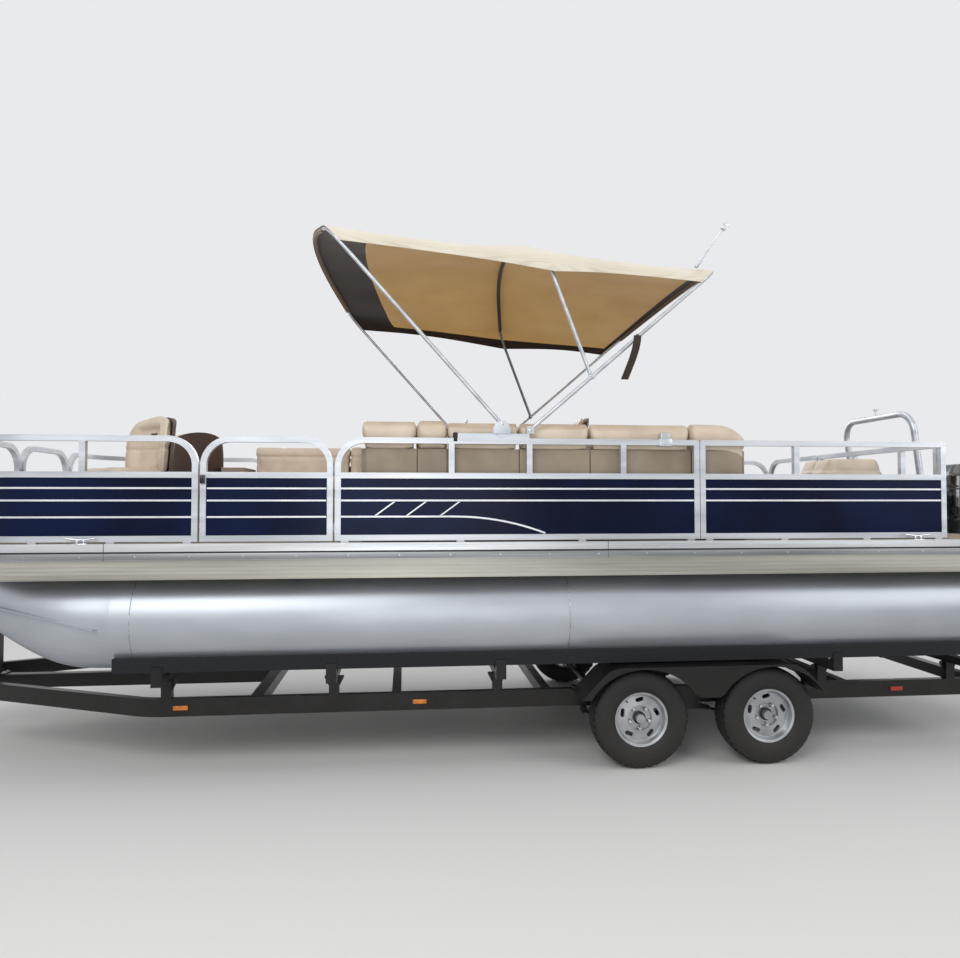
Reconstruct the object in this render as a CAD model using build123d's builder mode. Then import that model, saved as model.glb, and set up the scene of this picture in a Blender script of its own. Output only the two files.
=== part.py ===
"""Pontoon boat, two logs and a railed deck, standing on its tandem-axle bunk trailer.

Millimetres, +X to the bow, +Y to port, +Z up. The origin is on the ground, under the middle of the
whole length from the coupler to the outboard's cowling.
"""

import os
from math import asin, cos, degrees, hypot, radians, sin, sqrt

from build123d import *

os.makedirs("parts", exist_ok=True)

# The boat's width over its trim, and the deck's rear end, which the rest is set out from
beam = 2590
deck_rear_x = -3550

# Trailer wheels and axles
tyre_r = 313.5
tyre_width = 185
rim_r = 172
wheel_face_y = beam / 2 - 75
axle_front_x = -858
axle_gap = 853
axle_drop = 100
axle_tube_r = 30
spindle_r = 19
hub_r = 62
spring_half = 320
spring_leaf = 18
spring_width = 44

# Trailer frame
frame_rail_y = beam / 2 - 345
frame_rail_w = 50
frame_rail_h = 111
frame_z = 353
frame_rear_x = deck_rear_x + 70
frame_bend_x = 2250
frame_end_x = 4060
frame_slope = 0.45
tongue_rear_x = 1640
tongue_front_x = 4190
tongue_w = 76
tongue_h = 100
tongue_z = 333
coupler_tip_x = 4400
ball_socket_r = 25.6

# Bunks
log_lift = 183
bunk_h = 86
bunk_w = 38
bunk_z = 671
bunk_rear_x = deck_rear_x + 130
bunk_front_x = 2400
bunk_posts = (2140, 1100, 40, -2210, -3160)

# Logs
log_r = 320
log_y = beam / 2 - 410
log_rear_x = deck_rear_x - 70
nose_seam_x = 2410
nose_tip_x = 3580
riser_h = 87
strake_rear_x = 2470
strake_rear_z = 943
strake_front_x = 3080
strake_front_z = 1078
strake_rear_y = 284
strake_front_y = 196
strake_w = 74
strake_t = 8
riser_w = 110

# Deck
deck_front_x = 3430
deck_corner_r = 500
deck_rear_r = 60
deck_thick = 19
deck_edge = 25
notch_half = 345
notch_depth = 150
crossmember_h = 60
crossmember_w = 76
crossmember_count = 16
skirt_h = 117
skirt_rear_x = deck_rear_x + 50
skirt_front_x = 3180

# Fence
tube = 36
fence_h = 652
fence_foot = 12
panel_h = 349
fence_side_y = beam / 2 - 90
fence_front_x = deck_front_x - 100
fence_corner_r = 430
hoop_r = 180
small_r = 24
seam = 4
gate_gap = 12
panel_thick = 3
stripe_thick = 2
stripe_h = 11
stripe_levels = (160, 260, 334)
bow_gate_half = 360
side_gate_aft_x = 1090
side_gate_front_x = 1882
fence_split_x = -1250
fence_stern_x = deck_rear_x + 590
stern_gate_hinge_y = -270
stern_gate_end_y = -1150

# Seats
seat_top = 460
lounge_front_x = 920
lounge_rear_x = -1590
lounge_depth = 600
chair_w = 490
chair_d = 450
chair_pad = 110
chair_pedestal_h = 290

# Outboard
transom_x = deck_rear_x - 220
transom_top = 1330
transom_thick = 45
tilt_x = transom_x - 36
tilt_z = 1362
steer_x = tilt_x - 90
cowl_rear_x = steer_x - 504
cowl_top = 2020
prop_z = 592
prop_r = 172

# Canopy frame
bow_tube_r = 12.5
bow_y = fence_side_y
mid_bow_y = bow_y - 43
crown_corner = 118
crown_top = 405
crown_flat = 0.35 * bow_y
crown_r = 150
crown_big_r = 2300
mid_crown_top = crown_top + 70
mid_big_r = 1850
canopy_thick = 6
cloth_off = 19

# Heights and places that follow from the sizes above
frame_top = frame_z + frame_rail_h
log_z = frame_top + log_lift + log_r
log_top = log_z + log_r
crossmember_z = log_top + riser_h
deck_bottom = crossmember_z + crossmember_h
deck_top = deck_bottom + deck_thick
bunk_top = bunk_z + bunk_h
bunk_off = sqrt(log_r**2 - (log_z - bunk_top) ** 2) + 0.3
deck_half = beam / 2 - deck_edge
skirt_top = deck_top - 94
rail_top_z = deck_top + fence_h
rail_mid_z = deck_top + fence_foot + tube + panel_h
rail_low_z = deck_top + fence_foot
axles_x = (axle_front_x, axle_front_x - axle_gap)
fit = 0.3
sides = ((1, "port"), (-1, "starboard"))


def keep(piece, name):
    """Labels a finished piece and writes it as its own file."""
    piece.part.label = name
    export_step(piece.part, f"parts/{name}.step")


def block(x0, x1, y0, y1, z0, z1, mode=Mode.ADD):
    """A plain box between two corners, joined to the part that is being built."""
    with Locations(((x0 + x1) / 2, (y0 + y1) / 2, (z0 + z1) / 2)):
        Box(abs(x1 - x0), abs(y1 - y0), abs(z1 - z0), mode=mode)


def rod(start, end, radius, mode=Mode.ADD):
    """A round bar from one point to another."""
    start, end = Vector(*start), Vector(*end)
    span = end - start
    with BuildSketch(Plane(origin=start, z_dir=span)) as section:
        Circle(radius)
    extrude(section.sketch, amount=span.length, mode=mode)


def tube_along(points, radii, radius):
    """A round tube swept along straight runs joined by arcs."""
    with BuildLine() as line:
        FilletPolyline(*points, radius=radii)
    with BuildSketch(Plane(origin=line.line @ 0, z_dir=line.line % 0)) as section:
        Circle(radius)
    sweep(section.sketch, path=line.line)


# Trailer: two channel rails that run in to the tongue
with BuildPart() as trailer_rails:
    for side, _ in sides:
        end_y = frame_rail_y - frame_slope * (frame_end_x - frame_bend_x)
        with BuildSketch(Plane.XY.offset(frame_z)):
            with BuildLine() as plan:
                FilletPolyline(
                    (frame_rear_x, side * frame_rail_y),
                    (frame_bend_x, side * frame_rail_y),
                    (frame_end_x, side * end_y),
                    radius=400,
                )
            trace(plan.line, line_width=frame_rail_w)
        extrude(amount=frame_rail_h)
keep(trailer_rails, "trailer_rails")

# Cross tubes between the rails, and the one that carries the tongue's rear end
cross_tubes = ((-3440, 70), (-2420, 60), (-300, 60), (700, 60), (1600, 80))
with BuildPart() as trailer_crossmembers:
    inner = frame_rail_y - frame_rail_w / 2 - fit
    for x, width in cross_tubes:
        block(x - width / 2, x + width / 2, -inner, inner, frame_z + 20, frame_top - 14)
keep(trailer_crossmembers, "trailer_crossmembers")

with BuildPart() as trailer_tongue:
    block(tongue_rear_x + fit, tongue_front_x, -tongue_w / 2, tongue_w / 2, tongue_z, tongue_z + tongue_h)
    fillet(trailer_tongue.edges().filter_by(Axis.X), 8)
keep(trailer_tongue, "trailer_tongue")

# Coupler: a pressed cap over the ball, on a channel that is bolted round the tongue
coupler_ball_x = coupler_tip_x - 52
coupler_low = tongue_z + 28
with BuildPart() as coupler:
    with BuildSketch(Plane.XY.offset(coupler_low)):
        with Locations((coupler_ball_x, 0)):
            Circle(52)
        with BuildLine():
            Polyline(
                (tongue_front_x + fit, 45), (coupler_ball_x, 50), (coupler_ball_x, -50),
                (tongue_front_x + fit, -45), close=True,
            )
        make_face()
    extrude(amount=62)
    fillet(coupler.faces().sort_by(Axis.Z)[-1].edges(), 14)
    with Locations((coupler_ball_x, 0, coupler_low)):
        Cylinder(ball_socket_r, 42, align=(Align.CENTER, Align.CENTER, Align.MIN), mode=Mode.SUBTRACT)
    with BuildSketch(Plane.XZ):
        with BuildLine():
            Polyline(
                (4230, coupler_low + 60), (4330, coupler_low + 92), (4345, coupler_low + 84),
                (4262, coupler_low + 55), close=True,
            )
        make_face()
    extrude(amount=14, both=True)
keep(coupler, "coupler")

# Jack: screw tube clamped beside the tongue, with its foot on the ground
jack_x = 3860
jack_y = 88
with BuildPart() as tongue_jack:
    with Locations((jack_x, jack_y, 0)):
        Cylinder(95, 10, align=(Align.CENTER, Align.CENTER, Align.MIN))
        Cylinder(24, 500, align=(Align.CENTER, Align.CENTER, Align.MIN))
    with Locations((jack_x, jack_y, 190)):
        Cylinder(31, 520, align=(Align.CENTER, Align.CENTER, Align.MIN))
    block(jack_x - 45, jack_x + 45, tongue_w / 2 + fit, jack_y, tongue_z + 8, tongue_z + tongue_h - 8)
    rod((jack_x, jack_y, 690), (jack_x, jack_y + 150, 690), 9)
    rod((jack_x, jack_y + 140, 600), (jack_x, jack_y + 140, 700), 12)
keep(tongue_jack, "tongue_jack")

# Winch post: leaning mast on the tongue with the winch and the bow stop
mast_x = 3660
stop_z = deck_bottom - 20
with BuildPart() as winch_post:
    tongue_top = tongue_z + tongue_h + fit
    block(mast_x - 40, mast_x + 40, -38, 38, tongue_top, stop_z - 60)
    block(mast_x - 90, mast_x + 160, -50, 50, tongue_top, tongue_top + 8)
    with BuildSketch(Plane.XZ):
        with BuildLine():
            Polyline(
                (mast_x + 40, tongue_top + 8), (mast_x + 150, tongue_top + 8),
                (mast_x + 40, tongue_top + 420), close=True,
            )
        make_face()
    extrude(amount=4, both=True)
    block(mast_x - 130, mast_x + 40, -24, 24, stop_z - 110, stop_z - 60)
    for y in (-75, 75):
        block(mast_x - 150, mast_x - 60, y - 5, y + 5, stop_z - 110, stop_z - 20)
    block(mast_x - 130, mast_x - 90, -80, 80, stop_z - 100, stop_z - 70)
    with Locations(Location((mast_x - 130, 0, stop_z - 35), (90, 0, 0))):
        Cylinder(44, 136)
        Cylinder(12, 150)
    for y in (-52, 44):
        block(mast_x + 40, mast_x + 150, y, y + 8, stop_z - 330, stop_z - 160)
    with Locations(Location((mast_x + 95, 0, stop_z - 240), (90, 0, 0))):
        Cylinder(52, 90)
        Cylinder(10, 230)
    block(mast_x + 39, mast_x + 48, -52, 52, stop_z - 330, stop_z - 160)
    block(mast_x + 88, mast_x + 102, -120, -108, stop_z - 250, stop_z - 60)
    rod((mast_x + 95, -114, stop_z - 70), (mast_x + 95, -204, stop_z - 70), 14)
keep(winch_post, "winch_post")

# Bunks: a carpeted board on edge on each side of each log
bunk_places = [(side, side * log_y + way * (bunk_off + bunk_w / 2)) for side, _ in sides for way in (1, -1)]
with BuildPart() as bunks:
    for _, y in bunk_places:
        block(bunk_rear_x, bunk_front_x, y - bunk_w / 2, y + bunk_w / 2, bunk_z, bunk_top)
keep(bunks, "bunks")

# Bunk brackets: a post on the rail, a saddle bar under the log and a cheek outside each bunk
saddle_top = log_z - log_r - 14
saddle_h = 50
cheek_t = 6
cheek_h = 34
flare_h = 70
flare_w = 30
with BuildPart() as bunk_brackets:
    for side, _ in sides:
        out = bunk_off + bunk_w + cheek_t
        for x in bunk_posts:
            y_low, y_high = sorted((side * (log_y - out), side * (log_y + out)))
            block(x - 32, x + 32, y_low, y_high, saddle_top - saddle_h, saddle_top)
            post_y = side * frame_rail_y
            block(x - 32, x + 32, post_y - 25, post_y + 25, frame_top + fit, saddle_top - saddle_h)
            with BuildSketch(Plane.XZ.offset(-post_y)):
                with BuildLine():
                    Polyline(
                        (x - 32, saddle_top - saddle_h - flare_h), (x - 32 - flare_w, saddle_top - saddle_h - 12),
                        (x - 32 - flare_w, saddle_top - saddle_h), (x + 32 + flare_w, saddle_top - saddle_h),
                        (x + 32 + flare_w, saddle_top - saddle_h - 12), (x + 32, saddle_top - saddle_h - flare_h),
                        close=True,
                    )
                make_face()
            extrude(amount=5, both=True)
            for way in (1, -1):
                face = side * log_y + way * (bunk_off + bunk_w + fit)
                y0, y1 = sorted((face, face + way * cheek_t))
                block(x - 32, x + 32, y0, y1, saddle_top - saddle_h, bunk_z + cheek_h)
                seat = side * log_y + way * (bunk_off + bunk_w / 2)
                block(x - 32, x + 32, seat - bunk_w / 2, seat + bunk_w / 2, saddle_top, bunk_z - fit)
keep(bunk_brackets, "bunk_brackets")

# Axles: dropped beams with spindles
spindle_root = wheel_face_y - tyre_width - 22
axle_z = tyre_r
with BuildPart() as axles:
    for x in axles_x:
        rod((x, -spindle_root, axle_z - axle_drop), (x, spindle_root, axle_z - axle_drop), axle_tube_r)
        for side, _ in sides:
            y0, y1 = sorted((side * (spindle_root - 24), side * spindle_root))
            block(x - 32, x + 32, y0, y1, axle_z - axle_drop - axle_tube_r, axle_z + 34)
            rod((x, side * spindle_root, axle_z), (x, side * (wheel_face_y - 70), axle_z), spindle_r)
            seat = side * frame_rail_y
            block(
                x - 40, x + 40, seat - spring_width / 2, seat + spring_width / 2,
                axle_z - axle_drop, axle_z - axle_drop + axle_tube_r + 9,
            )
keep(axles, "axles")

# Leaf springs with their hangers and the equaliser between the two pairs
spring_low = axle_z - axle_drop + axle_tube_r + 9 + fit + spring_leaf / 2
eye_z = 316
eye_r = 17
with BuildPart() as leaf_springs:
    for side, _ in sides:
        plane = Plane.XZ.offset(-side * frame_rail_y)
        for x in axles_x:
            with BuildSketch(plane):
                with BuildLine() as leaf:
                    ThreePointArc((x - spring_half, eye_z), (x, spring_low), (x + spring_half, eye_z))
                trace(leaf.line, line_width=spring_leaf)
                with Locations((x - spring_half, eye_z), (x + spring_half, eye_z)):
                    Circle(eye_r)
            extrude(amount=spring_width / 2, both=True)
        inner_eyes = (axles_x[0] - spring_half, axles_x[1] + spring_half)
        outer_eyes = (axles_x[0] + spring_half, axles_x[1] - spring_half)
        with BuildSketch(plane):
            for x in outer_eyes:
                with Locations((x, (eye_z + frame_z - fit) / 2)):
                    Rectangle(40, frame_z - fit - eye_z)
            middle = sum(inner_eyes) / 2
            with BuildLine():
                Polyline(
                    (inner_eyes[0] + 14, eye_z - 12), (inner_eyes[0] + 14, eye_z + 12),
                    (middle + 30, frame_z - fit), (middle - 30, frame_z - fit),
                    (inner_eyes[1] - 14, eye_z + 12), (inner_eyes[1] - 14, eye_z - 12), close=True,
                )
            make_face()
        extrude(amount=spring_width / 2 - 6, both=True)
keep(leaf_springs, "leaf_springs")

# Tandem fenders: a bent top skin, a side web with two arches and stubs to the rail
fender_top = 658
fender_end_z = 462
fender_front_x = -455
fender_rear_x = -2079
fender_out_y = beam / 2 - 15
fender_in_y = fender_out_y - 276
fender_skin = 4
fender_arch_w = 384
fender_arch_h = tyre_r + 20
fender_shoulder = 190
fender_r = 180
dip_r = 70
with BuildPart() as fenders:
    for side, _ in sides:
        web = Plane.XZ.offset(-side * fender_out_y)
        with BuildSketch(web) as panel:
            with BuildLine() as skin:
                FilletPolyline(
                    (fender_front_x, fender_end_z), (fender_front_x - fender_shoulder, fender_top),
                    (fender_rear_x + fender_shoulder, fender_top), (fender_rear_x, fender_end_z),
                    radius=fender_r,
                )
                Line(skin.line @ 1, skin.line @ 0)
            make_face()
            with Locations(*[(x, axle_z) for x in axles_x]):
                Ellipse(fender_arch_w, fender_arch_h, mode=Mode.SUBTRACT)
            middle = sum(axles_x) / 2
            dip = [v for v in panel.vertices() if abs(v.X - middle) < axle_gap / 4]
            fillet(dip, dip_r)
        extrude(amount=side * fender_skin)
        with BuildSketch(web):
            with BuildLine() as skin:
                FilletPolyline(
                    (fender_front_x, fender_end_z), (fender_front_x - fender_shoulder, fender_top),
                    (fender_rear_x + fender_shoulder, fender_top), (fender_rear_x, fender_end_z),
                    radius=fender_r,
                )
            trace(skin.line, line_width=fender_skin)
        extrude(amount=side * (fender_out_y - fender_in_y))
        rail_face = frame_rail_y + frame_rail_w / 2 + fit
        stub_rows = (
            # middle x, top
            (fender_front_x - 12, fender_end_z + 30),
            ((fender_front_x + fender_rear_x) / 2, fender_top),
            (fender_rear_x + 12, fender_end_z + 30),
        )
        for x, high in stub_rows:
            y0, y1 = sorted((side * rail_face, side * (fender_in_y + 24)))
            block(x - 14, x + 14, y0, y1, fender_end_z, high)
keep(fenders, "fenders")

# Tail lamps on short arms at the rear corners
with BuildPart() as tail_lamps:
    for side, _ in sides:
        y0, y1 = sorted((side * (frame_rail_y + 35), side * (frame_rail_y + 195)))
        block(frame_rear_x - 4, frame_rear_x + 36, y0, y1, 372, 456)
        y0, y1 = sorted((side * (frame_rail_y + frame_rail_w / 2 + fit), side * (frame_rail_y + 35)))
        block(frame_rear_x + 4, frame_rear_x + 30, y0, y1, 392, 436)
keep(tail_lamps, "tail_lamps")

# Tyres and wheels, one pair of pieces for each corner
tread_half = 62
slot_count = 5
slot_ring_r = 118
slot_length = 56
slot_width = 26
slot_turn = 76
for x, place in zip(axles_x, ("front", "rear")):
    for side, side_name in sides:
        centre_y = side * (wheel_face_y - tyre_width / 2)
        half = tyre_width / 2
        rim_half = half - 22
        with BuildPart() as tyre:
            with BuildSketch(Plane.YZ.offset(x)):
                with BuildLine():
                    Polyline(
                        (centre_y - rim_half, axle_z + rim_r + fit), (centre_y - half, axle_z + 230),
                        (centre_y - half + 8, axle_z + 285), (centre_y - tread_half, axle_z + tyre_r),
                        (centre_y + tread_half, axle_z + tyre_r), (centre_y + half - 8, axle_z + 285),
                        (centre_y + half, axle_z + 230), (centre_y + rim_half, axle_z + rim_r + fit),
                        close=True,
                    )
                make_face()
            revolve(axis=Axis((x, 0, axle_z), (0, 1, 0)))
        keep(tyre, f"tyre_{place}_{side_name}")

        face_y = centre_y + side * (rim_half - 38)
        with BuildPart() as wheel:
            with BuildSketch(Plane.YZ.offset(x)):
                with BuildLine():
                    Polyline(
                        (centre_y - side * rim_half, axle_z + rim_r),
                        (centre_y + side * rim_half, axle_z + rim_r),
                        (centre_y + side * rim_half, axle_z + rim_r - 12),
                        (face_y, axle_z + rim_r - 26),
                        (face_y + side * 6, axle_z + 80),
                        (face_y - side * 14, axle_z + 76),
                        (face_y - side * 14, axle_z + spindle_r + fit),
                        (face_y - side * 24, axle_z + spindle_r + fit),
                        (face_y - side * 24, axle_z + 86),
                        (face_y - side * 10, axle_z + rim_r - 28),
                        (centre_y - side * rim_half, axle_z + rim_r - 14),
                        close=True,
                    )
                make_face()
            revolve(axis=Axis((x, 0, axle_z), (0, 1, 0)))
            slot_plane = Plane(origin=(x, face_y + side * 20, axle_z), x_dir=(1, 0, 0), z_dir=(0, -side, 0))
            with BuildSketch(slot_plane):
                with PolarLocations(slot_ring_r, slot_count, start_angle=90):
                    SlotOverall(slot_length, slot_width, rotation=slot_turn)
            extrude(amount=60, mode=Mode.SUBTRACT)
            hub_in = face_y - side * 70
            with BuildSketch(Plane.XZ.offset(-hub_in)):
                with Locations((x, axle_z)):
                    Circle(hub_r)
            extrude(amount=-side * 56.5)
            with BuildSketch(Plane.XZ.offset(-(face_y - side * 15))):
                with Locations((x, axle_z)):
                    Circle(33)
            extrude(amount=-side * 46, taper=6)
            rod((x, hub_in - side * 2, axle_z), (x, centre_y + side * 40, axle_z), spindle_r + fit, Mode.SUBTRACT)
        keep(wheel, f"wheel_{place}_{side_name}")

# Logs: a rolled tube, a nose that sweeps up to the tube's top line, and the riser rail for the deck
nose_sections = (
    # distance along the nose, radius, height of the section's lowest point over the tube's bottom
    (0.0, 320, 0),
    (0.2, 313, 14),
    (0.39, 282, 76),
    (0.56, 226, 188),
    (0.75, 156, 328),
    (0.9, 96, 448),
    (1.0, 34, 572),
)
for side, side_name in sides:
    with BuildPart() as pontoon:
        rod((log_rear_x, side * log_y, log_z), (nose_seam_x, side * log_y, log_z), log_r)
        nose_faces = []
        for share, radius, rise in nose_sections:
            at = nose_seam_x + share * (nose_tip_x - nose_seam_x)
            grown = radius * log_r / 320
            with BuildSketch(Plane.YZ.offset(at)) as ring:
                with Locations((side * log_y, log_z - log_r + rise * log_r / 320 + grown)):
                    Circle(grown)
            nose_faces.append(ring.sketch.face())
        loft(nose_faces)
        riser_y = side * log_y
        block(
            deck_rear_x + 12, nose_seam_x, riser_y - riser_w / 2, riser_y + riser_w / 2,
            log_top - 30, crossmember_z - fit,
        )
        start = Vector(strake_rear_x, side * (log_y + strake_rear_y), strake_rear_z)
        strake = Vector(strake_front_x, side * (log_y + strake_front_y), strake_front_z) - start
        with BuildSketch(Plane(origin=start, x_dir=(0, 1, 0), z_dir=strake)) as section:
            Rectangle(2 * strake_w, strake_t)
        extrude(section.sketch, amount=strake.length)
    keep(pontoon, f"pontoon_{side_name}")

# Deck frame: channels across both risers
first_x = deck_rear_x + 190
last_x = deck_front_x - 330


def deck_half_at(x):
    """Half the deck's width at a place along the boat, with the bow's round corners."""
    into = x + crossmember_w / 2 - (deck_front_x - deck_corner_r)
    if into <= 0:
        return deck_half
    return deck_half - deck_corner_r + sqrt(deck_corner_r**2 - into**2)


with BuildPart() as crossmembers:
    for i in range(crossmember_count):
        x = first_x + i * (last_x - first_x) / (crossmember_count - 1)
        half = crossmember_w / 2
        cross_half = deck_half_at(x) - 6
        with BuildSketch(Plane.XZ.offset(-cross_half)):
            with BuildLine():
                Polyline(
                    (x - half, crossmember_z), (x - 18, crossmember_z), (x - 18, deck_bottom - 6 - fit),
                    (x + 18, deck_bottom - 6 - fit), (x + 18, crossmember_z), (x + half, crossmember_z),
                    (x + half, crossmember_z + 5), (x + 24, crossmember_z + 5), (x + 24, deck_bottom - fit),
                    (x - 24, deck_bottom - fit), (x - 24, crossmember_z + 5), (x - half, crossmember_z + 5),
                    close=True,
                )
            make_face()
        extrude(amount=2 * cross_half)
keep(crossmembers, "crossmembers")


def deck_plan(grow, mode=Mode.ADD):
    """The deck's outline with its motor notch, grown on all sides, for the sketch that is being built."""
    length = deck_front_x - deck_rear_x
    with BuildSketch(Plane.XY, mode=Mode.PRIVATE) as plan:
        with Locations(((deck_front_x + deck_rear_x) / 2, 0)):
            Rectangle(length + 2 * grow, 2 * (deck_half + grow))
        fillet(plan.vertices().group_by(Axis.X)[-1], deck_corner_r + grow)
        fillet(plan.vertices().group_by(Axis.X)[0], deck_rear_r + grow)
        with Locations((deck_rear_x - grow, 0)):
            Rectangle(2 * notch_depth, 2 * (notch_half - grow), mode=Mode.SUBTRACT)
    add(plan.sketch, mode=mode)


with BuildPart() as deck:
    with BuildSketch(Plane.XY.offset(deck_bottom)):
        deck_plan(0)
    extrude(amount=deck_thick)
keep(deck, "deck")

# Deck edge: an extrusion with a full band above and a set-back band below
edge_bands = (
    # bottom and top over the deck's top face, how far it stands out
    (-94, -49, deck_edge - 12),
    (-49, 4, deck_edge),
)
with BuildPart() as deck_trim:
    for low, high, proud in edge_bands:
        with BuildSketch(Plane.XY.offset(deck_top + low)):
            deck_plan(proud)
            deck_plan(fit, mode=Mode.SUBTRACT)
        extrude(amount=high - low)
keep(deck_trim, "deck_trim")

# Side skirts: ribbed sheet under the deck edge, cut back at the bow
skirt_y = deck_half + 2
skirt_sheet = 3
rib_rows = (14, 38, 62, 86)
with BuildPart() as side_skirts:
    for side, _ in sides:
        low = skirt_top - skirt_h
        with BuildSketch(Plane.YZ.offset(skirt_rear_x)):
            with Locations((side * (skirt_y + skirt_sheet / 2), low + skirt_h / 2)):
                Rectangle(skirt_sheet, skirt_h - fit)
            with Locations(*[(side * (skirt_y + skirt_sheet + 2), low + rib) for rib in rib_rows]):
                Rectangle(6, 12)
            with Locations((side * (skirt_y - 9), low + 2)):
                Rectangle(24, 4)
        extrude(amount=skirt_front_x - skirt_rear_x)
    with BuildSketch(Plane.XZ.offset(-beam / 2 - 10)):
        with BuildLine():
            Polyline(
                (skirt_front_x + 1, skirt_top), (skirt_front_x + 1, skirt_top - skirt_h - 1),
                (skirt_front_x - 120, skirt_top - skirt_h - 1), close=True,
            )
        make_face()
    extrude(amount=beam + 20, mode=Mode.SUBTRACT)
keep(side_skirts, "side_skirts")

# Motor pod between the logs, with the transom that carries the outboard
pod_half = 390
well_z = 1190
well_front_x = deck_rear_x + notch_depth + deck_edge
with BuildPart() as motor_pod:
    with BuildSketch(Plane.XZ):
        with BuildLine():
            Polyline(
                (deck_rear_x + 930, crossmember_z - fit), (deck_rear_x + 600, 860), (deck_rear_x - 90, 800),
                (transom_x, 880),
                (transom_x, transom_top), (transom_x + transom_thick, transom_top),
                (transom_x + transom_thick, well_z), (well_front_x, well_z),
                (well_front_x, crossmember_z - fit), close=True,
            )
        make_face()
    extrude(amount=pod_half, both=True)
    for side, _ in sides:
        block(
            transom_x - 1, transom_x + transom_thick + 1, side * 230, side * (pod_half + 1),
            1240, transom_top + 1, Mode.SUBTRACT,
        )
keep(motor_pod, "motor_pod")


# Fence frames
def frame_face(length, round_start, round_end, posts=(), open_start=False, open_end=False):
    """A fence frame seen square on: rails, end posts with rounded or tight top corners, inner posts."""
    low = rail_low_z
    height = rail_top_z - low
    with BuildSketch(Plane.XY, mode=Mode.PRIVATE) as frame:
        with Locations((length / 2, low + height / 2)):
            Rectangle(length, height)
        top = frame.vertices().group_by(Axis.Y)[-1].sort_by(Axis.X)
        if not open_start:
            fillet(top[0], hoop_r if round_start else small_r)
        top = frame.vertices().group_by(Axis.Y)[-1].sort_by(Axis.X)
        if not open_end:
            fillet(top[-1], hoop_r if round_end else small_r)
        start = 0 if open_start else tube
        end = length if open_end else length - tube
        with Locations(((start + end) / 2, rail_low_z + tube + panel_h / 2)):
            Rectangle(end - start, panel_h, mode=Mode.SUBTRACT)
        stops = [start] + [p for post in posts for p in (post - tube / 2, post + tube / 2)] + [end]
        window_h = rail_top_z - tube - (rail_mid_z + tube)
        for a, b in zip(stops[0::2], stops[1::2]):
            with BuildSketch(Plane.XY, mode=Mode.PRIVATE) as window:
                with Locations(((a + b) / 2, rail_mid_z + tube + window_h / 2)):
                    Rectangle(b - a, window_h)
                upper = window.vertices().group_by(Axis.Y)[-1].sort_by(Axis.X)
                if a == start and round_start and not open_start:
                    fillet(upper[0], hoop_r - tube)
                upper = window.vertices().group_by(Axis.Y)[-1].sort_by(Axis.X)
                if b == end and round_end and not open_end:
                    fillet(upper[-1], hoop_r - tube)
            add(window.sketch, mode=Mode.SUBTRACT)
    return frame.sketch


def fence_plane(x, y, angle):
    """A plane that stands on the ground at x, y, its first axis turned by angle from +X."""
    along = (cos(radians(angle)), sin(radians(angle)), 0)
    return Plane(origin=(x, y, 0), x_dir=along, z_dir=(along[1], -along[0], 0))


def fence_frame(x, y, angle, length, round_start, round_end, posts=(), **ends):
    """Extrudes a fence frame from its start point along angle, with feet to the deck."""
    with BuildSketch(fence_plane(x, y, angle)) as frame:
        add(frame_face(length, round_start, round_end, posts, **ends))
    extrude(frame.sketch, amount=tube / 2, both=True)


def feet(x, y, angle, places):
    """Small pads between the deck and the bottom rail."""
    for place in places:
        fx = x + cos(radians(angle)) * place
        fy = y + sin(radians(angle)) * place
        block(fx - 24, fx + 24, fy - tube / 2, fy + tube / 2, deck_top + fit, rail_low_z + 1)


bow_side_start = side_gate_front_x + gate_gap
bow_side_len = fence_front_x - fence_corner_r - bow_side_start
bow_front_y = fence_side_y - fence_corner_r
bow_front_len = bow_front_y - bow_gate_half - gate_gap
main_len = side_gate_aft_x - gate_gap - (fence_split_x + seam / 2)
aft_len = fence_split_x - seam / 2 - fence_stern_x
aft_start = fence_stern_x
corner_centre = (fence_front_x - fence_corner_r, fence_side_y - fence_corner_r)


def corner_band(side, inner, outer, z0, z1, mode=Mode.ADD):
    """A quarter ring in plan round the bow corner's centre, between two heights."""
    with BuildSketch(Plane.XY.offset(z0)) as band:
        with BuildLine():
            cx, cy = corner_centre[0], side * corner_centre[1]
            span = 90 * side
            CenterArc((cx, cy), outer, 0, span)
            CenterArc((cx, cy), inner, 0, span)
            Line((cx + inner, cy), (cx + outer, cy))
            Line((cx, cy + side * inner), (cx, cy + side * outer))
        make_face()
    extrude(band.sketch, amount=z1 - z0, mode=mode)


def bow_corner(side):
    """Side frame, quarter-round corner and front hoop of one bow corner, as one welded frame."""
    y = side * fence_side_y
    fence_frame(bow_side_start, y, 0, bow_side_len, True, False, (670,), open_end=True)
    feet(bow_side_start, y, 0, (60, bow_side_len / 2, bow_side_len - 60))
    for z in (rail_low_z, rail_mid_z, rail_top_z - tube):
        corner_band(side, fence_corner_r - tube / 2, fence_corner_r + tube / 2, z, z + tube)
    fence_frame(
        fence_front_x, side * bow_front_y, -90 * side, bow_front_len, False, True, (), open_start=True
    )
    feet(fence_front_x, side * (bow_gate_half + gate_gap), 90 * side, (60,))


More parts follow.
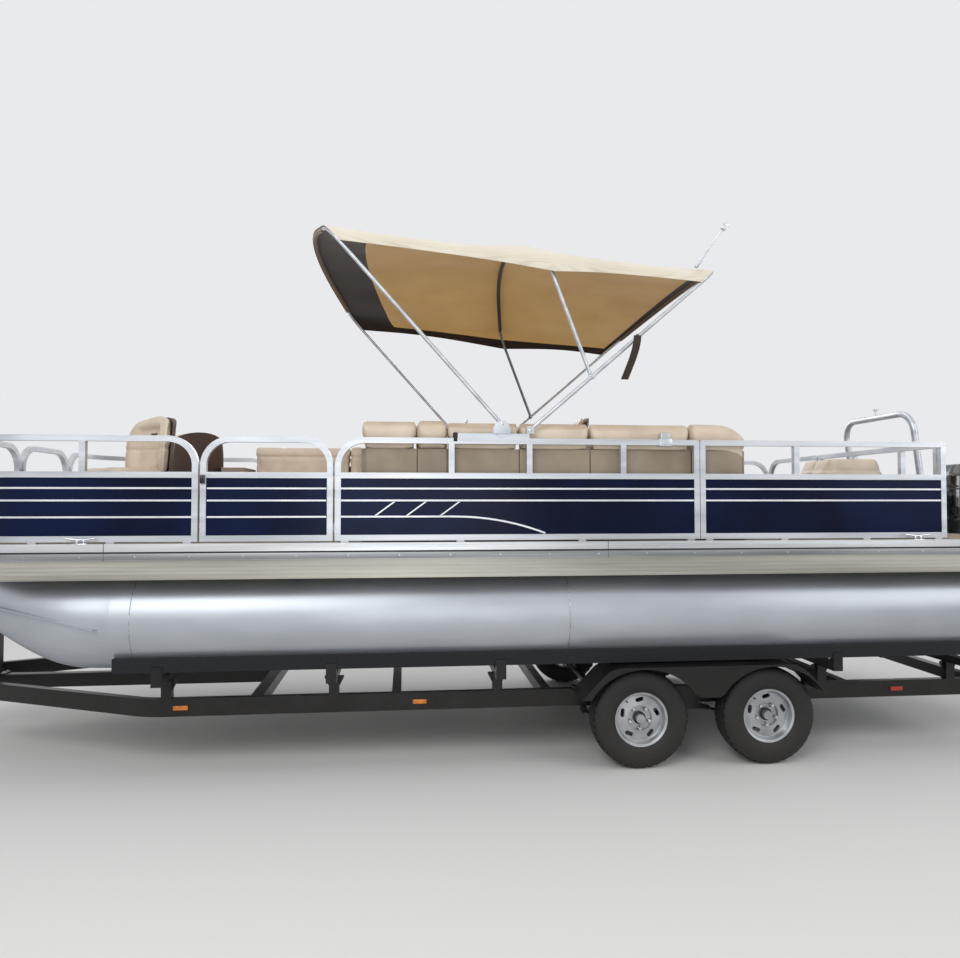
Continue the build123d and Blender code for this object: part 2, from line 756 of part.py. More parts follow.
# Gate hinges: two pins a gate, inside the fence, in the gap between the post and the gate
hinge_off = 10
hinge_levels = (90, 452)
hinge_reach = 24
knuckle_r = 9
knuckle_half = 20
lug_h = 14
pin_r = 5
pin_fit = 0.06
gate_rows = (
    # name, start x and y, angle of the run, length, start and end rounded, way out, stripe levels
    ("port_gate", side_gate_aft_x, fence_side_y, 0, side_gate_front_x - side_gate_aft_x, True, True, -1,
     stripe_levels),
    ("bow_gate", fence_front_x, bow_gate_half, -90, 2 * bow_gate_half, True, True, -1, stripe_levels),
    ("stern_gate", fence_stern_x + tube / 2, stern_gate_hinge_y, -90,
     stern_gate_hinge_y - stern_gate_end_y, False, True, 1, stripe_levels[1:]),
)


def gate_hinge(name, leaf):
    """A gate's two hinges: the leaf with its bored barrel, or the post's lugs with the pin."""
    _, x, y, angle, _, _, _, way, _ = next(row for row in gate_rows if row[0] == name)
    along = Vector(cos(radians(angle)), sin(radians(angle)))
    inward = Vector(along.Y, -along.X) * -way
    pin = Vector(x, y) - along * (gate_gap / 2) + inward * (tube / 2 + hinge_off)
    root = pin + along * (hinge_reach if leaf else -hinge_reach) - inward * hinge_off
    low_lug = (-knuckle_half - 1 - lug_h, -knuckle_half - 1)
    spans = ((-knuckle_half, knuckle_half),) if leaf else (low_lug, (-low_lug[1], -low_lug[0]))
    for level in hinge_levels:
        for low, high in spans:
            low_z = deck_top + level + low
            high_z = deck_top + level + high
            block(pin.X, root.X, pin.Y, root.Y, low_z, high_z)
            rod((pin.X, pin.Y, low_z), (pin.X, pin.Y, high_z), knuckle_r)
            if leaf:
                rod((pin.X, pin.Y, low_z - 1), (pin.X, pin.Y, high_z + 1), pin_r + pin_fit, Mode.SUBTRACT)
        if not leaf:
            reach = knuckle_half + 1 + lug_h
            rod((pin.X, pin.Y, deck_top + level - reach), (pin.X, pin.Y, deck_top + level + reach), pin_r)


fence_rows = (
    # side, name of the run, first x, length, start rounded, end rounded, inner posts from the start
    (1, "main", fence_split_x + seam / 2, main_len, False, True, (504, 1113, 1607)),
    (1, "aft", aft_start, aft_len, False, False, (1050,)),
    (-1, "main", fence_split_x + seam / 2, main_len + 800, False, False, (620, 1240, 1860, 2480)),
    (-1, "aft", aft_start, aft_len, True, False, (1050,)),
)
for side, side_name in sides:
    with BuildPart() as bow_fence:
        bow_corner(side)
        if side == 1:
            gate_hinge("bow_gate", leaf=False)
    keep(bow_fence, f"{side_name}_bow_rail")

    with BuildPart() as fence:
        for row_side, _, x, length, round_start, round_end, posts in fence_rows:
            if row_side == side:
                fence_frame(x, side * fence_side_y, 0, length, round_start, round_end, posts)
                feet(x, side * fence_side_y, 0, (60, length / 3, length * 2 / 3, length - 60))
        if side == 1:
            gate_hinge("port_gate", leaf=False)
    keep(fence, f"{side_name}_rail")

# Stern rail, from the port side rail to the stern gate's hinge
stern_port_y = fence_side_y - tube / 2 - seam
stern_len = stern_port_y - (stern_gate_hinge_y + gate_gap)
with BuildPart() as stern_rail:
    fence_frame(fence_stern_x + tube / 2, stern_port_y, -90, stern_len, False, False, (380, 940))
    feet(fence_stern_x + tube / 2, stern_port_y, -90, (60, stern_len / 2, stern_len - 60))
    gate_hinge("stern_gate", leaf=False)
keep(stern_rail, "stern_rail")

# Panels and raised stripes
panel_off = tube / 2 - 8
stripe_off = panel_off + panel_thick
low_panel = rail_low_z + tube + fit


panel_runs = [
    # x, y, angle and length of each fixed run, and which way is out of the boat
    (x, side * fence_side_y, 0, length, side)
    for side, _, x, length, _, _, _ in fence_rows
] + [(fence_stern_x + tube / 2, stern_port_y, -90, stern_len, 1)]
panel_clear = panel_h - 2 * fit


def out_of(angle, side):
    """The signed way along a fence plane's normal that points out of the boat."""
    return -side if angle == 0 else 1


with BuildPart() as fence_panels:
    for x, y, angle, length, side in panel_runs:
        way = out_of(angle, side)
        plane = fence_plane(x, y, angle).offset(way * panel_off)
        with BuildSketch(plane):
            with Locations((length / 2, low_panel + panel_clear / 2)):
                Rectangle(length - 2 * (tube + fit), panel_clear)
        extrude(amount=way * panel_thick)
    for side, _ in sides:
        y0, y1 = sorted((side * (fence_side_y + panel_off), side * (fence_side_y + stripe_off)))
        block(
            bow_side_start + tube + fit, corner_centre[0], y0, y1, low_panel, low_panel + panel_clear
        )
        corner_band(
            side, fence_corner_r + panel_off, fence_corner_r + stripe_off, low_panel, low_panel + panel_clear
        )
        y0, y1 = sorted((side * bow_front_y, side * (bow_gate_half + gate_gap + tube + fit)))
        block(
            fence_front_x + panel_off, fence_front_x + stripe_off, y0, y1, low_panel, low_panel + panel_clear
        )
keep(fence_panels, "fence_panels")

# Stripe layout on the port main run: the lowest stripe sweeps down, with three slashes ahead of it
sweep_start_x = 340
sweep_end_x = -250
slash_feet = (837, 643, 433)
slash_run = -116
slash_w = 14


def stripe_base(level):
    """A stripe's lower edge, as a height over the panel's bottom."""
    return level - (rail_low_z + tube - deck_top) - stripe_h / 2


with BuildPart() as panel_stripes:
    for x, y, angle, length, side in panel_runs:
        way = out_of(angle, side)
        for level in stripe_levels:
            first = tube + fit
            last = length - tube - fit
            if level == stripe_levels[0]:
                if angle or x == aft_start:
                    continue
                first = sweep_start_x - x
            plane = fence_plane(x, y, angle).offset(way * stripe_off)
            with BuildSketch(plane):
                with Locations(((first + last) / 2, low_panel + stripe_base(level) + stripe_h / 2)):
                    Rectangle(last - first, stripe_h)
            extrude(amount=way * stripe_thick)
    for side, _ in sides:
        sweep_z = deck_top + stripe_levels[0]
        drop = sweep_z - low_panel
        run = sweep_start_x - sweep_end_x
        big_r = (run**2 + drop**2) / (2 * drop)
        plane = Plane.XZ.offset(-side * (fence_side_y + stripe_off))
        with BuildSketch(plane):
            with BuildLine() as swoop:
                CenterArc((sweep_start_x, sweep_z - big_r), big_r, 90, degrees(asin(run / big_r)) - 0.6)
            trace(swoop.line, line_width=stripe_h)
            for foot in slash_feet:
                with BuildLine():
                    z0 = sweep_z + stripe_h / 2 + 2
                    z1 = deck_top + stripe_levels[1] - stripe_h / 2 - 2
                    Polyline(
                        (foot, z0), (foot - slash_w, z0), (foot - slash_w + slash_run, z1),
                        (foot + slash_run, z1), close=True,
                    )
                make_face()
        extrude(amount=-side * stripe_thick)
        for level in stripe_levels:
            z0 = low_panel + stripe_base(level)
            z1 = z0 + stripe_h
            out0, out1 = stripe_off, stripe_off + stripe_thick
            y0, y1 = sorted((side * (fence_side_y + out0), side * (fence_side_y + out1)))
            block(bow_side_start + tube + fit, corner_centre[0], y0, y1, z0, z1)
            corner_band(side, fence_corner_r + out0, fence_corner_r + out1, z0, z1)
            y0, y1 = sorted((side * bow_front_y, side * (bow_gate_half + gate_gap + tube + fit)))
            block(fence_front_x + out0, fence_front_x + out1, y0, y1, z0, z1)
keep(panel_stripes, "panel_stripes")

# Gates: each is a frame of the same tube with its own panel and stripes
for name, x, y, angle, length, round_start, round_end, way, levels in gate_rows:
    with BuildPart() as gate:
        fence_frame(x, y, angle, length, round_start, round_end, ())
        gate_hinge(name, leaf=True)
    keep(gate, name)
    with BuildPart() as gate_panel:
        with BuildSketch(fence_plane(x, y, angle).offset(way * panel_off)):
            with Locations((length / 2, low_panel + panel_clear / 2)):
                Rectangle(length - 2 * (tube + fit), panel_clear)
        extrude(amount=way * panel_thick)
        with BuildSketch(fence_plane(x, y, angle).offset(way * stripe_off)):
            for level in levels:
                with Locations((length / 2, low_panel + stripe_base(level) + stripe_h / 2)):
                    Rectangle(length - 2 * (tube + fit), stripe_h)
        extrude(amount=way * stripe_thick)
    keep(gate_panel, f"{name}_panel")

# Port lounge: moulded base with back shells, seat and back cushions
lounge_out_y = fence_side_y - tube / 2 - 22
lounge_seat_z = deck_top + seat_top
lounge_back_z = deck_top + 777
shell_thick = 60
seat_pad = 120
back_pad = 170
back_rows = (
    # front and rear of each back section
    (920, 574), (572, 386), (384, -76), (-78, -538), (-540, -1214), (-1216, -1590),
)
# The starboard bench and the livewell box ahead of it
bench_front_x = 2000
bench_rear_x = 1030
bench_rows = (
    # rear and front of each bench pad
    (bench_rear_x, 1138), (1140, bench_front_x),
)
livewell_front_x = 2205
bench_back_z = deck_top + 764
livewell_top = deck_top + 540
with BuildPart() as lounge_base:
    block(
        lounge_rear_x, lounge_front_x, lounge_out_y - lounge_depth, lounge_out_y,
        deck_top + fit, lounge_seat_z - seat_pad,
    )
    block(
        lounge_rear_x, lounge_front_x, lounge_out_y - shell_thick, lounge_out_y,
        deck_top + fit, lounge_back_z - 190,
    )
    chamfer(lounge_base.edges().filter_by(Axis.Z).group_by(Axis.Y)[-1], 30)
    block(
        bench_rear_x, bench_front_x, -lounge_out_y, -lounge_out_y + lounge_depth,
        deck_top + fit, lounge_seat_z - seat_pad,
    )
    block(
        bench_rear_x, bench_front_x, -lounge_out_y, -lounge_out_y + shell_thick,
        deck_top + fit, bench_back_z - 190,
    )
    block(
        bench_front_x + 20, livewell_front_x, -lounge_out_y, -lounge_out_y + 520,
        deck_top + fit, livewell_top,
    )
keep(lounge_base, "lounge_base")

with BuildPart() as lounge_cushions:
    pad_y1 = lounge_out_y - shell_thick - back_pad + 40
    for x1, x0 in back_rows:
        with BuildSketch(Plane.YZ.offset(x0)):
            with BuildLine():
                Polyline(
                    (lounge_out_y - shell_thick - fit, lounge_seat_z - seat_pad + fit),
                    (lounge_out_y - shell_thick - fit, lounge_back_z - 188),
                    (lounge_out_y, lounge_back_z - 188), (lounge_out_y + 6, lounge_back_z - 40),
                    (lounge_out_y - 50, lounge_back_z), (lounge_out_y - 140, lounge_back_z - 6),
                    (lounge_out_y - 185, lounge_back_z - 70), (pad_y1, lounge_seat_z - 20),
                    (pad_y1, lounge_seat_z - seat_pad + fit), close=True,
                )
            make_face()
        extrude(amount=x1 - x0)
    seats = ((lounge_front_x, 350), (348, -538), (-540, lounge_rear_x))
    for x1, x0 in seats:
        block(
            x0, x1, lounge_out_y - lounge_depth - 12, pad_y1 - 1,
            lounge_seat_z - seat_pad + fit, lounge_seat_z,
        )
    for x0, x1 in bench_rows:
        with BuildSketch(Plane.YZ.offset(x0)):
            with BuildLine():
                Polyline(
                    (-(lounge_out_y - shell_thick - fit), lounge_seat_z - seat_pad + fit),
                    (-(lounge_out_y - shell_thick - fit), bench_back_z - 188),
                    (-lounge_out_y, bench_back_z - 188), (-(lounge_out_y + 6), bench_back_z - 40),
                    (-(lounge_out_y - 50), bench_back_z), (-(lounge_out_y - 140), bench_back_z - 6),
                    (-(lounge_out_y - 185), bench_back_z - 70), (-pad_y1, lounge_seat_z - 20),
                    (-pad_y1, lounge_seat_z - seat_pad + fit), close=True,
                )
            make_face()
        extrude(amount=x1 - x0)
        block(
            x0, x1, -(pad_y1 - 1), -(lounge_out_y - lounge_depth - 12),
            lounge_seat_z - seat_pad + fit, lounge_seat_z,
        )
keep(lounge_cushions, "lounge_cushions")

# Console with a raked dash, and the steering wheel on its shaft
console_rear_x = -100
console_front_x = 520
console_top = deck_top + 850
wheel_y = -(lounge_out_y - 365)
wheel_r = 165
wheel_tilt = 32
axis_dir = (-cos(radians(wheel_tilt)), 0, sin(radians(wheel_tilt)))
lean = Vector(*axis_dir)
shaft_root = Vector(console_rear_x + 55, wheel_y, deck_top + 680)
wheel_hub = shaft_root + lean * 70
with BuildPart() as console:
    with BuildSketch(Plane.XZ.offset(lounge_out_y - 40)):
        with BuildLine():
            Polyline(
                (console_rear_x + 60, deck_top + fit), (console_front_x, deck_top + fit),
                (console_front_x - 60, console_top - 30), (console_front_x - 140, console_top),
                (console_rear_x + 130, console_top - 30), (console_rear_x, deck_top + 560),
                (console_rear_x, deck_top + 470), (console_rear_x + 60, deck_top + 430), close=True,
            )
        make_face()
    extrude(amount=-700)
    fillet(console.edges().filter_by(Axis.Z), 30)
    rod(shaft_root - lean * 50, shaft_root + lean * 14, 30)
    rod(shaft_root + lean * (4 - fit), shaft_root + lean * 20, 16 + pin_fit, Mode.SUBTRACT)
keep(console, "console")

with BuildPart() as helm_wheel:
    face = Plane(origin=wheel_hub, x_dir=(0, 1, 0), z_dir=axis_dir)
    with BuildSketch(Plane(origin=face.offset(20).origin, x_dir=(0, 1, 0), z_dir=face.y_dir)):
        with Locations((wheel_r, 0)):
            Circle(13)
    revolve(axis=Axis(face.origin, axis_dir))
    with BuildSketch(face.offset(8)):
        Circle(38)
        with PolarLocations(wheel_r / 2, 3, start_angle=90):
            Rectangle(wheel_r - 4, 26)
    extrude(amount=14)
    with BuildSketch(face.offset(-66)):
        Circle(16)
    extrude(amount=76)
keep(helm_wheel, "helm_wheel")


# Chairs on pedestals
def turned(x, y, angle):
    """A level plane at the deck, its first axis turned to the way a chair faces."""
    return Plane(origin=(x, y, deck_top), x_dir=(cos(radians(angle)), sin(radians(angle)), 0), z_dir=(0, 0, 1))


chair_rows = (
    # name, x, y, way it faces, height of the back over the seat, folded
    ("bow_chair_port", 2470, 780, 50, 380, False),
    ("bow_chair_starboard", 2525, -780, -50, 380, False),
    ("helm_chair", -720, -780, 0, 560, False),
    ("aft_chair", -2480, 770, 0, 90, True),
)
with BuildPart() as seat_pedestals:
    for _, x, y, _, _, _ in chair_rows:
        with Locations((x, y, deck_top + fit)):
            Cylinder(120, 12, align=(Align.CENTER, Align.CENTER, Align.MIN))
            Cylinder(37, chair_pedestal_h - 20, align=(Align.CENTER, Align.CENTER, Align.MIN))
            Cone(60, 37, 60, align=(Align.CENTER, Align.CENTER, Align.MIN))
keep(seat_pedestals, "seat_pedestals")

for name, x, y, angle, back_h, folded in chair_rows:
    base = turned(x, y, angle)
    shell_z = chair_pedestal_h + 30
    pad_z = seat_top - chair_pad
    with BuildPart() as chair:
        with BuildSketch(base.offset(chair_pedestal_h - 20 + 2 * fit)):
            Circle(64)
        extrude(amount=60)
        with BuildSketch(base.offset(shell_z)):
            RectangleRounded(chair_d, chair_w, 70)
        extrude(amount=pad_z - shell_z)
        with BuildSketch(base.offset(pad_z)):
            RectangleRounded(chair_d, chair_w, 90)
        extrude(amount=chair_pad)
        if folded:
            with BuildSketch(base.offset(seat_top)):
                with Locations((-10, 0)):
                    RectangleRounded(chair_d - 30, chair_w - 20, 90)
            extrude(amount=back_h, taper=18)
        else:
            with BuildSketch(base.offset(pad_z + 20)):
                with BuildLine():
                    ThreePointArc((-60, chair_w / 2), (-chair_d / 2 - 70, 0), (-60, -chair_w / 2))
                    Line((-60, -chair_w / 2), (-60, -chair_w / 2 + 70))
                    ThreePointArc((-60, -chair_w / 2 + 70), (-chair_d / 2 + 40, 0), (-60, chair_w / 2 - 70))
                    Line((-60, chair_w / 2 - 70), (-60, chair_w / 2))
                make_face()
            extrude(amount=seat_top - pad_z - 20 + back_h, taper=3)
    keep(chair, name)

# Tow bar: a hoop of wide tube on the stern platform, with a stay to each leg
tow_half = 441
tow_foot_x = deck_rear_x + 140
tow_top_x = deck_rear_x + 260
tow_top_z = deck_top + 950
tow_r = 25
with BuildPart() as ski_tow_bar:
    foot_z = deck_top + 10
    tube_along(
        ((tow_foot_x, -tow_half, foot_z), (tow_top_x, -tow_half, tow_top_z),
         (tow_top_x, tow_half, tow_top_z), (tow_foot_x, tow_half, foot_z)),
        150, tow_r,
    )
    for side, _ in sides:
        with Locations((tow_foot_x, side * tow_half, deck_top + fit)):
            Cylinder(62, 10, align=(Align.CENTER, Align.CENTER, Align.MIN))
    with Locations(Location((tow_top_x, 0, tow_top_z + tow_r - 4))):
        Cylinder(9, 46, align=(Align.CENTER, Align.CENTER, Align.MIN))
    with Locations((tow_top_x, 0, tow_top_z + tow_r + 42)):
        Cylinder(22, 8, align=(Align.CENTER, Align.CENTER, Align.MIN))
keep(ski_tow_bar, "ski_tow_bar")

# Outboard: clamp bracket on the transom with the tilt tube
bracket_half = 122
with BuildPart() as outboard_bracket:
    for side, _ in sides:
        with BuildSketch(Plane.XZ.offset(-side * (bracket_half - 8))):
            with BuildLine():
                Polyline(
                    (transom_x - fit, 900), (transom_x - fit, transom_top + fit),
                    (transom_x + transom_thick + fit, transom_top + fit),
                    (transom_x + transom_thick + fit, 1230), (transom_x + transom_thick + 20, 1230),
                    (transom_x + transom_thick + 20, transom_top + 34),
                    (tilt_x - 4, tilt_z + 34), (tilt_x - 36, tilt_z), (tilt_x - 14, tilt_z - 80),
                    (transom_x - 34, 900), close=True,
                )
            make_face()
        extrude(amount=8, both=True)
    rod((tilt_x, -bracket_half - 14, tilt_z), (tilt_x, bracket_half + 14, tilt_z), 14)
keep(outboard_bracket, "outboard_bracket")

swivel_half = bracket_half - 8 - 8 - 5.5
swivel_low = 960
swivel_high = 1350
with BuildPart() as outboard_swivel:
    rod((tilt_x, -swivel_half, tilt_z), (tilt_x, swivel_half, tilt_z), 30)
    with BuildSketch(Plane.XZ):
        with BuildLine():
            Polyline(
                (tilt_x - 20, tilt_z + 16), (steer_x + 44, swivel_high - 8), (steer_x, swivel_high - 8),
                (steer_x, swivel_low + 4), (steer_x + 40, swivel_low + 4), (tilt_x - 6, tilt_z - 90),
                (tilt_x + 18, tilt_z - 22), close=True,
            )
        make_face()
    extrude(amount=42, both=True)
    with Locations((steer_x, 0, swivel_low)):
        Cylinder(44, swivel_high - swivel_low, align=(Align.CENTER, Align.CENTER, Align.MIN))
        Cylinder(16, swivel_high - swivel_low, align=(Align.CENTER, Align.CENTER, Align.MIN), mode=Mode.SUBTRACT)
    rod((tilt_x, -swivel_half - 1, tilt_z), (tilt_x, swivel_half + 1, tilt_z), 14.05, Mode.SUBTRACT)
keep(outboard_swivel, "outboard_swivel")

# Cowling over the engine, as a few level sections
cowl_bottom = 1430
cowl_front_x = steer_x + 58
cowl_sections = (
    # height, front x, rear x, half width
    (cowl_bottom, cowl_front_x - 30, cowl_rear_x + 60, 150),
    (1560, cowl_front_x, cowl_rear_x + 6, 192),
    (1760, cowl_front_x - 4, cowl_rear_x, 200),
    (1930, cowl_front_x - 34, cowl_rear_x + 40, 176),
    (cowl_top, cowl_front_x - 110, cowl_rear_x + 150, 110),
)
with BuildPart() as outboard_cowling:
    cowl_faces = []
    for z, front, rear, half in cowl_sections:
        with BuildSketch(Plane.XY.offset(z)) as level:
            with Locations(((front + rear) / 2, 0)):
                RectangleRounded(front - rear, 2 * half, half * 0.55)
        cowl_faces.append(level.sketch.face())
    loft(cowl_faces, ruled=True)
keep(outboard_cowling, "outboard_cowling")

# Leg: midsection, plate, gearcase, skeg and the yokes that hold the swivel tube
plate_z = 780
leg_front = steer_x - 56
prop_x = leg_front - 296
prop_shaft_r = 12
with BuildPart() as outboard_leg:
    with BuildSketch(Plane.XY.offset(plate_z - 1)):
        with Locations((leg_front - 105, 0)):
            Ellipse(104, 52)
    extrude(amount=cowl_bottom - fit - plate_z + 1 - 60)
    with BuildSketch(Plane.XY.offset(cowl_bottom - fit - 60)):
        with Locations((leg_front - 130, 0)):
            RectangleRounded(330, 220, 90)
    extrude(amount=60)
    for z0, z1 in ((swivel_low - 44, swivel_low - 2), (swivel_high + 2, swivel_high + 40)):
        block(leg_front - 60, steer_x, -34, 34, z0, z1)
        with Locations((steer_x, 0, z0)):
            Cylinder(40, z1 - z0, align=(Align.CENTER, Align.CENTER, Align.MIN))
    rod((steer_x, 0, swivel_low - 20), (steer_x, 0, swivel_high + 20), 15.9)
    with BuildSketch(Plane.XY.offset(plate_z)):
        with BuildLine():
            Polyline(
                (leg_front + 10, 40), (leg_front - 160, 100), (leg_front - 360, 118), (leg_front - 400, 90),
                (leg_front - 400, -90), (leg_front - 360, -118), (leg_front - 160, -100),
                (leg_front + 10, -40), close=True,
            )
        make_face()
    extrude(amount=9)
    with BuildSketch(Plane.XY.offset(prop_z)):
        with Locations((leg_front - 115, 0)):
            Ellipse(112, 26)
    extrude(amount=plate_z - prop_z + 1)
    with BuildSketch(Plane.XZ):
        with BuildLine():
            Polyline((leg_front + 30, prop_z), (leg_front - 290, prop_z))
            Line((leg_front - 290, prop_z), (leg_front - 290, prop_z + 46))
            Line((leg_front - 290, prop_z + 46), (leg_front - 60, prop_z + 58))
            ThreePointArc(
                (leg_front - 60, prop_z + 58), (leg_front + 10, prop_z + 34), (leg_front + 30, prop_z)
            )
        make_face()
    revolve(axis=Axis((0, 0, prop_z), (1, 0, 0)))
    with BuildSketch(Plane.XZ):
        with BuildLine():
            Polyline(
                (leg_front - 20, prop_z - 30), (leg_front - 120, prop_z - 175), (leg_front - 190, prop_z - 182),
                (leg_front - 215, prop_z - 30), close=True,
            )
        make_face()
    extrude(amount=6, both=True)
    rod((leg_front - 280, 0, prop_z), (prop_x - 110, 0, prop_z), prop_shaft_r)
keep(outboard_leg, "outboard_leg")

blade_sections = (
    # distance from the shaft, chord, thickness, turn away from the shaft's line
    (34, 96, 9, 48),
    (80, 124, 8, 58),
    (130, 128, 6, 64),
    (prop_r, 60, 4, 68),
)
with BuildPart() as propeller:
    rod((prop_x, 0, prop_z), (prop_x - 96, 0, prop_z), 45)
    for i in range(3):
        turn = radians(120 * i)
        blade_faces = []
        for radius, chord, thick, pitch in blade_sections:
            along = cos(radians(pitch))
            across = sin(radians(pitch))
            blade_plane = Plane(
                origin=(prop_x - 48, radius * sin(turn), prop_z + radius * cos(turn)),
                x_dir=(along, across * cos(turn), -across * sin(turn)),
                z_dir=(0, sin(turn), cos(turn)),
            )
            with BuildSketch(blade_plane) as blade:
                Rectangle(chord, thick)
            blade_faces.append(blade.sketch.face())
        loft(blade_faces, ruled=True)
    rod((prop_x + 1, 0, prop_z), (prop_x - 97, 0, prop_z), prop_shaft_r + pin_fit, Mode.SUBTRACT)
keep(propeller, "propeller")

# Canopy frame: three bows, their mounts on the top rails, and the cloth
front_pivot = (42, 2196)
front_top = (1059, 3330)
rear_foot = (-140, 2159)
rear_top = (-1271, 3137)
mid_pivot = (-550, 2513.6)
mid_top = (-300, 3177)


def bow_points(foot, top, half, lift, crown):
    """Foot, knees and crown of a bow in its own leaning plane, port to starboard."""
    length = hypot(top[0] - foot[0], top[1] - foot[1])
    dx, dz = (top[0] - foot[0]) / length, (top[1] - foot[1]) / length
    shape = (
        (half, lift), (half, length + crown_corner), (crown_flat, length + crown),
        (-crown_flat, length + crown), (-half, length + crown_corner), (-half, lift),
    )
    return [(foot[0] + dx * s, y, foot[1] + dz * s) for y, s in shape]


def bow(foot, top, half, lift, crown, big_r):
    """Bends one bow from round tube."""
    points = bow_points(foot, top, half, lift, crown)
    with BuildLine() as line:
        FilletPolyline(*points, radius=(crown_r, big_r, big_r, crown_r))
    with BuildSketch(Plane(origin=line.line @ 0, z_dir=line.line % 0)) as section:
        Circle(bow_tube_r)
    sweep(section.sketch, path=line.line)


ear_half = bow_tube_r + 5.5
with BuildPart() as bimini_base:
    for side, _ in sides:
        y = side * bow_y
        block(-135, 322, y - 16, y + 16, rail_top_z + fit, rail_top_z + 30)
        for x0, x1, top_z in ((front_pivot[0] - 20, front_pivot[0] + 20, front_pivot[1] + 20),):
            for way in (1, -1):
                y0, y1 = sorted((y + way * ear_half, y + way * (ear_half + 5)))
                block(x0, x1, y0, y1, rail_top_z + 12, top_z)
            block(x0 - 6, x1 + 6, y - ear_half - 5, y + ear_half + 5, rail_top_z + 8, rail_top_z + 34)
        rod((front_pivot[0], y - ear_half - 9, front_pivot[1]), (front_pivot[0], y + ear_half + 9, front_pivot[1]),
            pin_r)
keep(bimini_base, "bimini_base")

with BuildPart() as bimini_rear_bow:
    bow(rear_foot, rear_top, bow_y, 20, crown_top, crown_big_r)
    for side, _ in sides:
        y = side * bow_y
        block(rear_foot[0] - 26, rear_foot[0] + 22, y - 15, y + 15, rail_top_z + 30 + fit, rail_top_z + 78)
        with Locations(Location((mid_pivot[0], side * (bow_y - 4), mid_pivot[1]), (90, 0, 0))):
            Cylinder(19, 34)
        rod((mid_pivot[0], side * (mid_bow_y - bow_tube_r - 6), mid_pivot[1]),
            (mid_pivot[0], side * (bow_y - 10), mid_pivot[1]), pin_r)
keep(bimini_rear_bow, "bimini_rear_bow")

for name, foot, top, half, crown, big_r in (
    ("bimini_front_bow", front_pivot, front_top, bow_y, crown_top, crown_big_r),
    ("bimini_mid_bow", mid_pivot, mid_top, mid_bow_y, mid_crown_top, mid_big_r),
):
    with BuildPart() as moving_bow:
        bow(foot, top, half, -14, crown, big_r)
        for side, _ in sides:
            rod((foot[0], side * half - 30, foot[1]), (foot[0], side * half + 30, foot[1]), pin_r + pin_fit,
                Mode.SUBTRACT)
    keep(moving_bow, name)

# Cloth: a thin skin over the three bows, hanging to the legs' tops on each side
with BuildPart() as bimini_canopy:
    cloth_faces = []
    for foot, top, crown_z, big_r in (
        (front_pivot, front_top, crown_top, crown_big_r), (mid_pivot, mid_top, mid_crown_top, mid_big_r),
        (rear_foot, rear_top, crown_top, crown_big_r),
    ):
        slope = hypot(bow_y - crown_flat, crown_z - crown_corner)
        slope_x = (crown_z - crown_corner) / slope
        slope_y = (bow_y - crown_flat) / slope
        length = hypot(top[0] - foot[0], top[1] - foot[1])
        lean = ((top[0] - foot[0]) / length, 0, (top[1] - foot[1]) / length)
        plane = Plane(origin=(foot[0], 0, foot[1]), x_dir=(0, 1, 0), z_dir=Vector(0, 1, 0).cross(Vector(*lean)))
        with BuildSketch(plane) as band:
            for grow, mode in ((cloth_off + canopy_thick, Mode.ADD), (cloth_off, Mode.SUBTRACT)):
                half = bow_y + grow
                knee = length + crown_corner + grow * (1 - slope_x) / slope_y
                flat = crown_flat + grow * (1 - slope_y) / slope_x
                crown = length + crown_z + grow
                with BuildLine():
                    FilletPolyline(
                        (half, length), (half, knee), (flat, crown), (-flat, crown), (-half, knee),
                        (-half, length),
                        radius=(crown_r + grow, big_r + grow, big_r + grow, crown_r + grow),
                    )
                    Line((-half, length), (half, length))
                make_face(mode=mode)
        cloth_faces.append(band.sketch.face())
    loft(cloth_faces, ruled=True)
keep(bimini_canopy, "bimini_canopy")
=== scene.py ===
import bpy
from math import atan2, cos, exp, hypot, pi, radians, sin, sqrt, tan
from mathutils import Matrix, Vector


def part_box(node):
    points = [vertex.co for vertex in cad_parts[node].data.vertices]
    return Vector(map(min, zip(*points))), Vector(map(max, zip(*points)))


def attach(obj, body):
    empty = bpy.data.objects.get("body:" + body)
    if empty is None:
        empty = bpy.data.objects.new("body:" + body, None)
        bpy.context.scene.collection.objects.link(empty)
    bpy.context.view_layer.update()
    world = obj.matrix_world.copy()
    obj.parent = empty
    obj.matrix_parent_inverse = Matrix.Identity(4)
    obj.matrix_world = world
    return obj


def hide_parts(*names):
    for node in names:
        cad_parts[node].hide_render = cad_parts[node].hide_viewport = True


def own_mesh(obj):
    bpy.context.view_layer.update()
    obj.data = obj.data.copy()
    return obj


# The dressed look of a two-log pontoon boat on its bunk trailer. Metres, +X to the bow, +Y to port.
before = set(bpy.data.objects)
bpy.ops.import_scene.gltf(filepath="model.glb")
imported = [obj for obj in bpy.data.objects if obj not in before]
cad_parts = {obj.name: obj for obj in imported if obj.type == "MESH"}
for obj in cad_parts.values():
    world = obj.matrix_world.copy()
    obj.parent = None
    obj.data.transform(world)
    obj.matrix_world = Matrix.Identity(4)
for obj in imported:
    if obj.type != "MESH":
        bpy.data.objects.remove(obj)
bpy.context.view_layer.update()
BOAT = "boat_on_trailer"
ORIGIN, UP, AFT, PORT = (0, 0, 0), (0, 0, 1), (-1, 0, 0), (0, 1, 0)
TINY = 1e-9
sides = ((1, "port"), (-1, "starboard"))
axle_places = (("front", -0.858), ("rear", -1.711))
# A wheel's middle to the side and its height, half its rim's width, and how far out its disc stands
wheel_y, wheel_z, rim_half, disc_out = 1.1275, 0.3135, 0.0705, 0.0705 - 0.038
# How far to each side the canopy's feet and legs stand
bow_y = 1.205
deck_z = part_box("deck")[1][2]


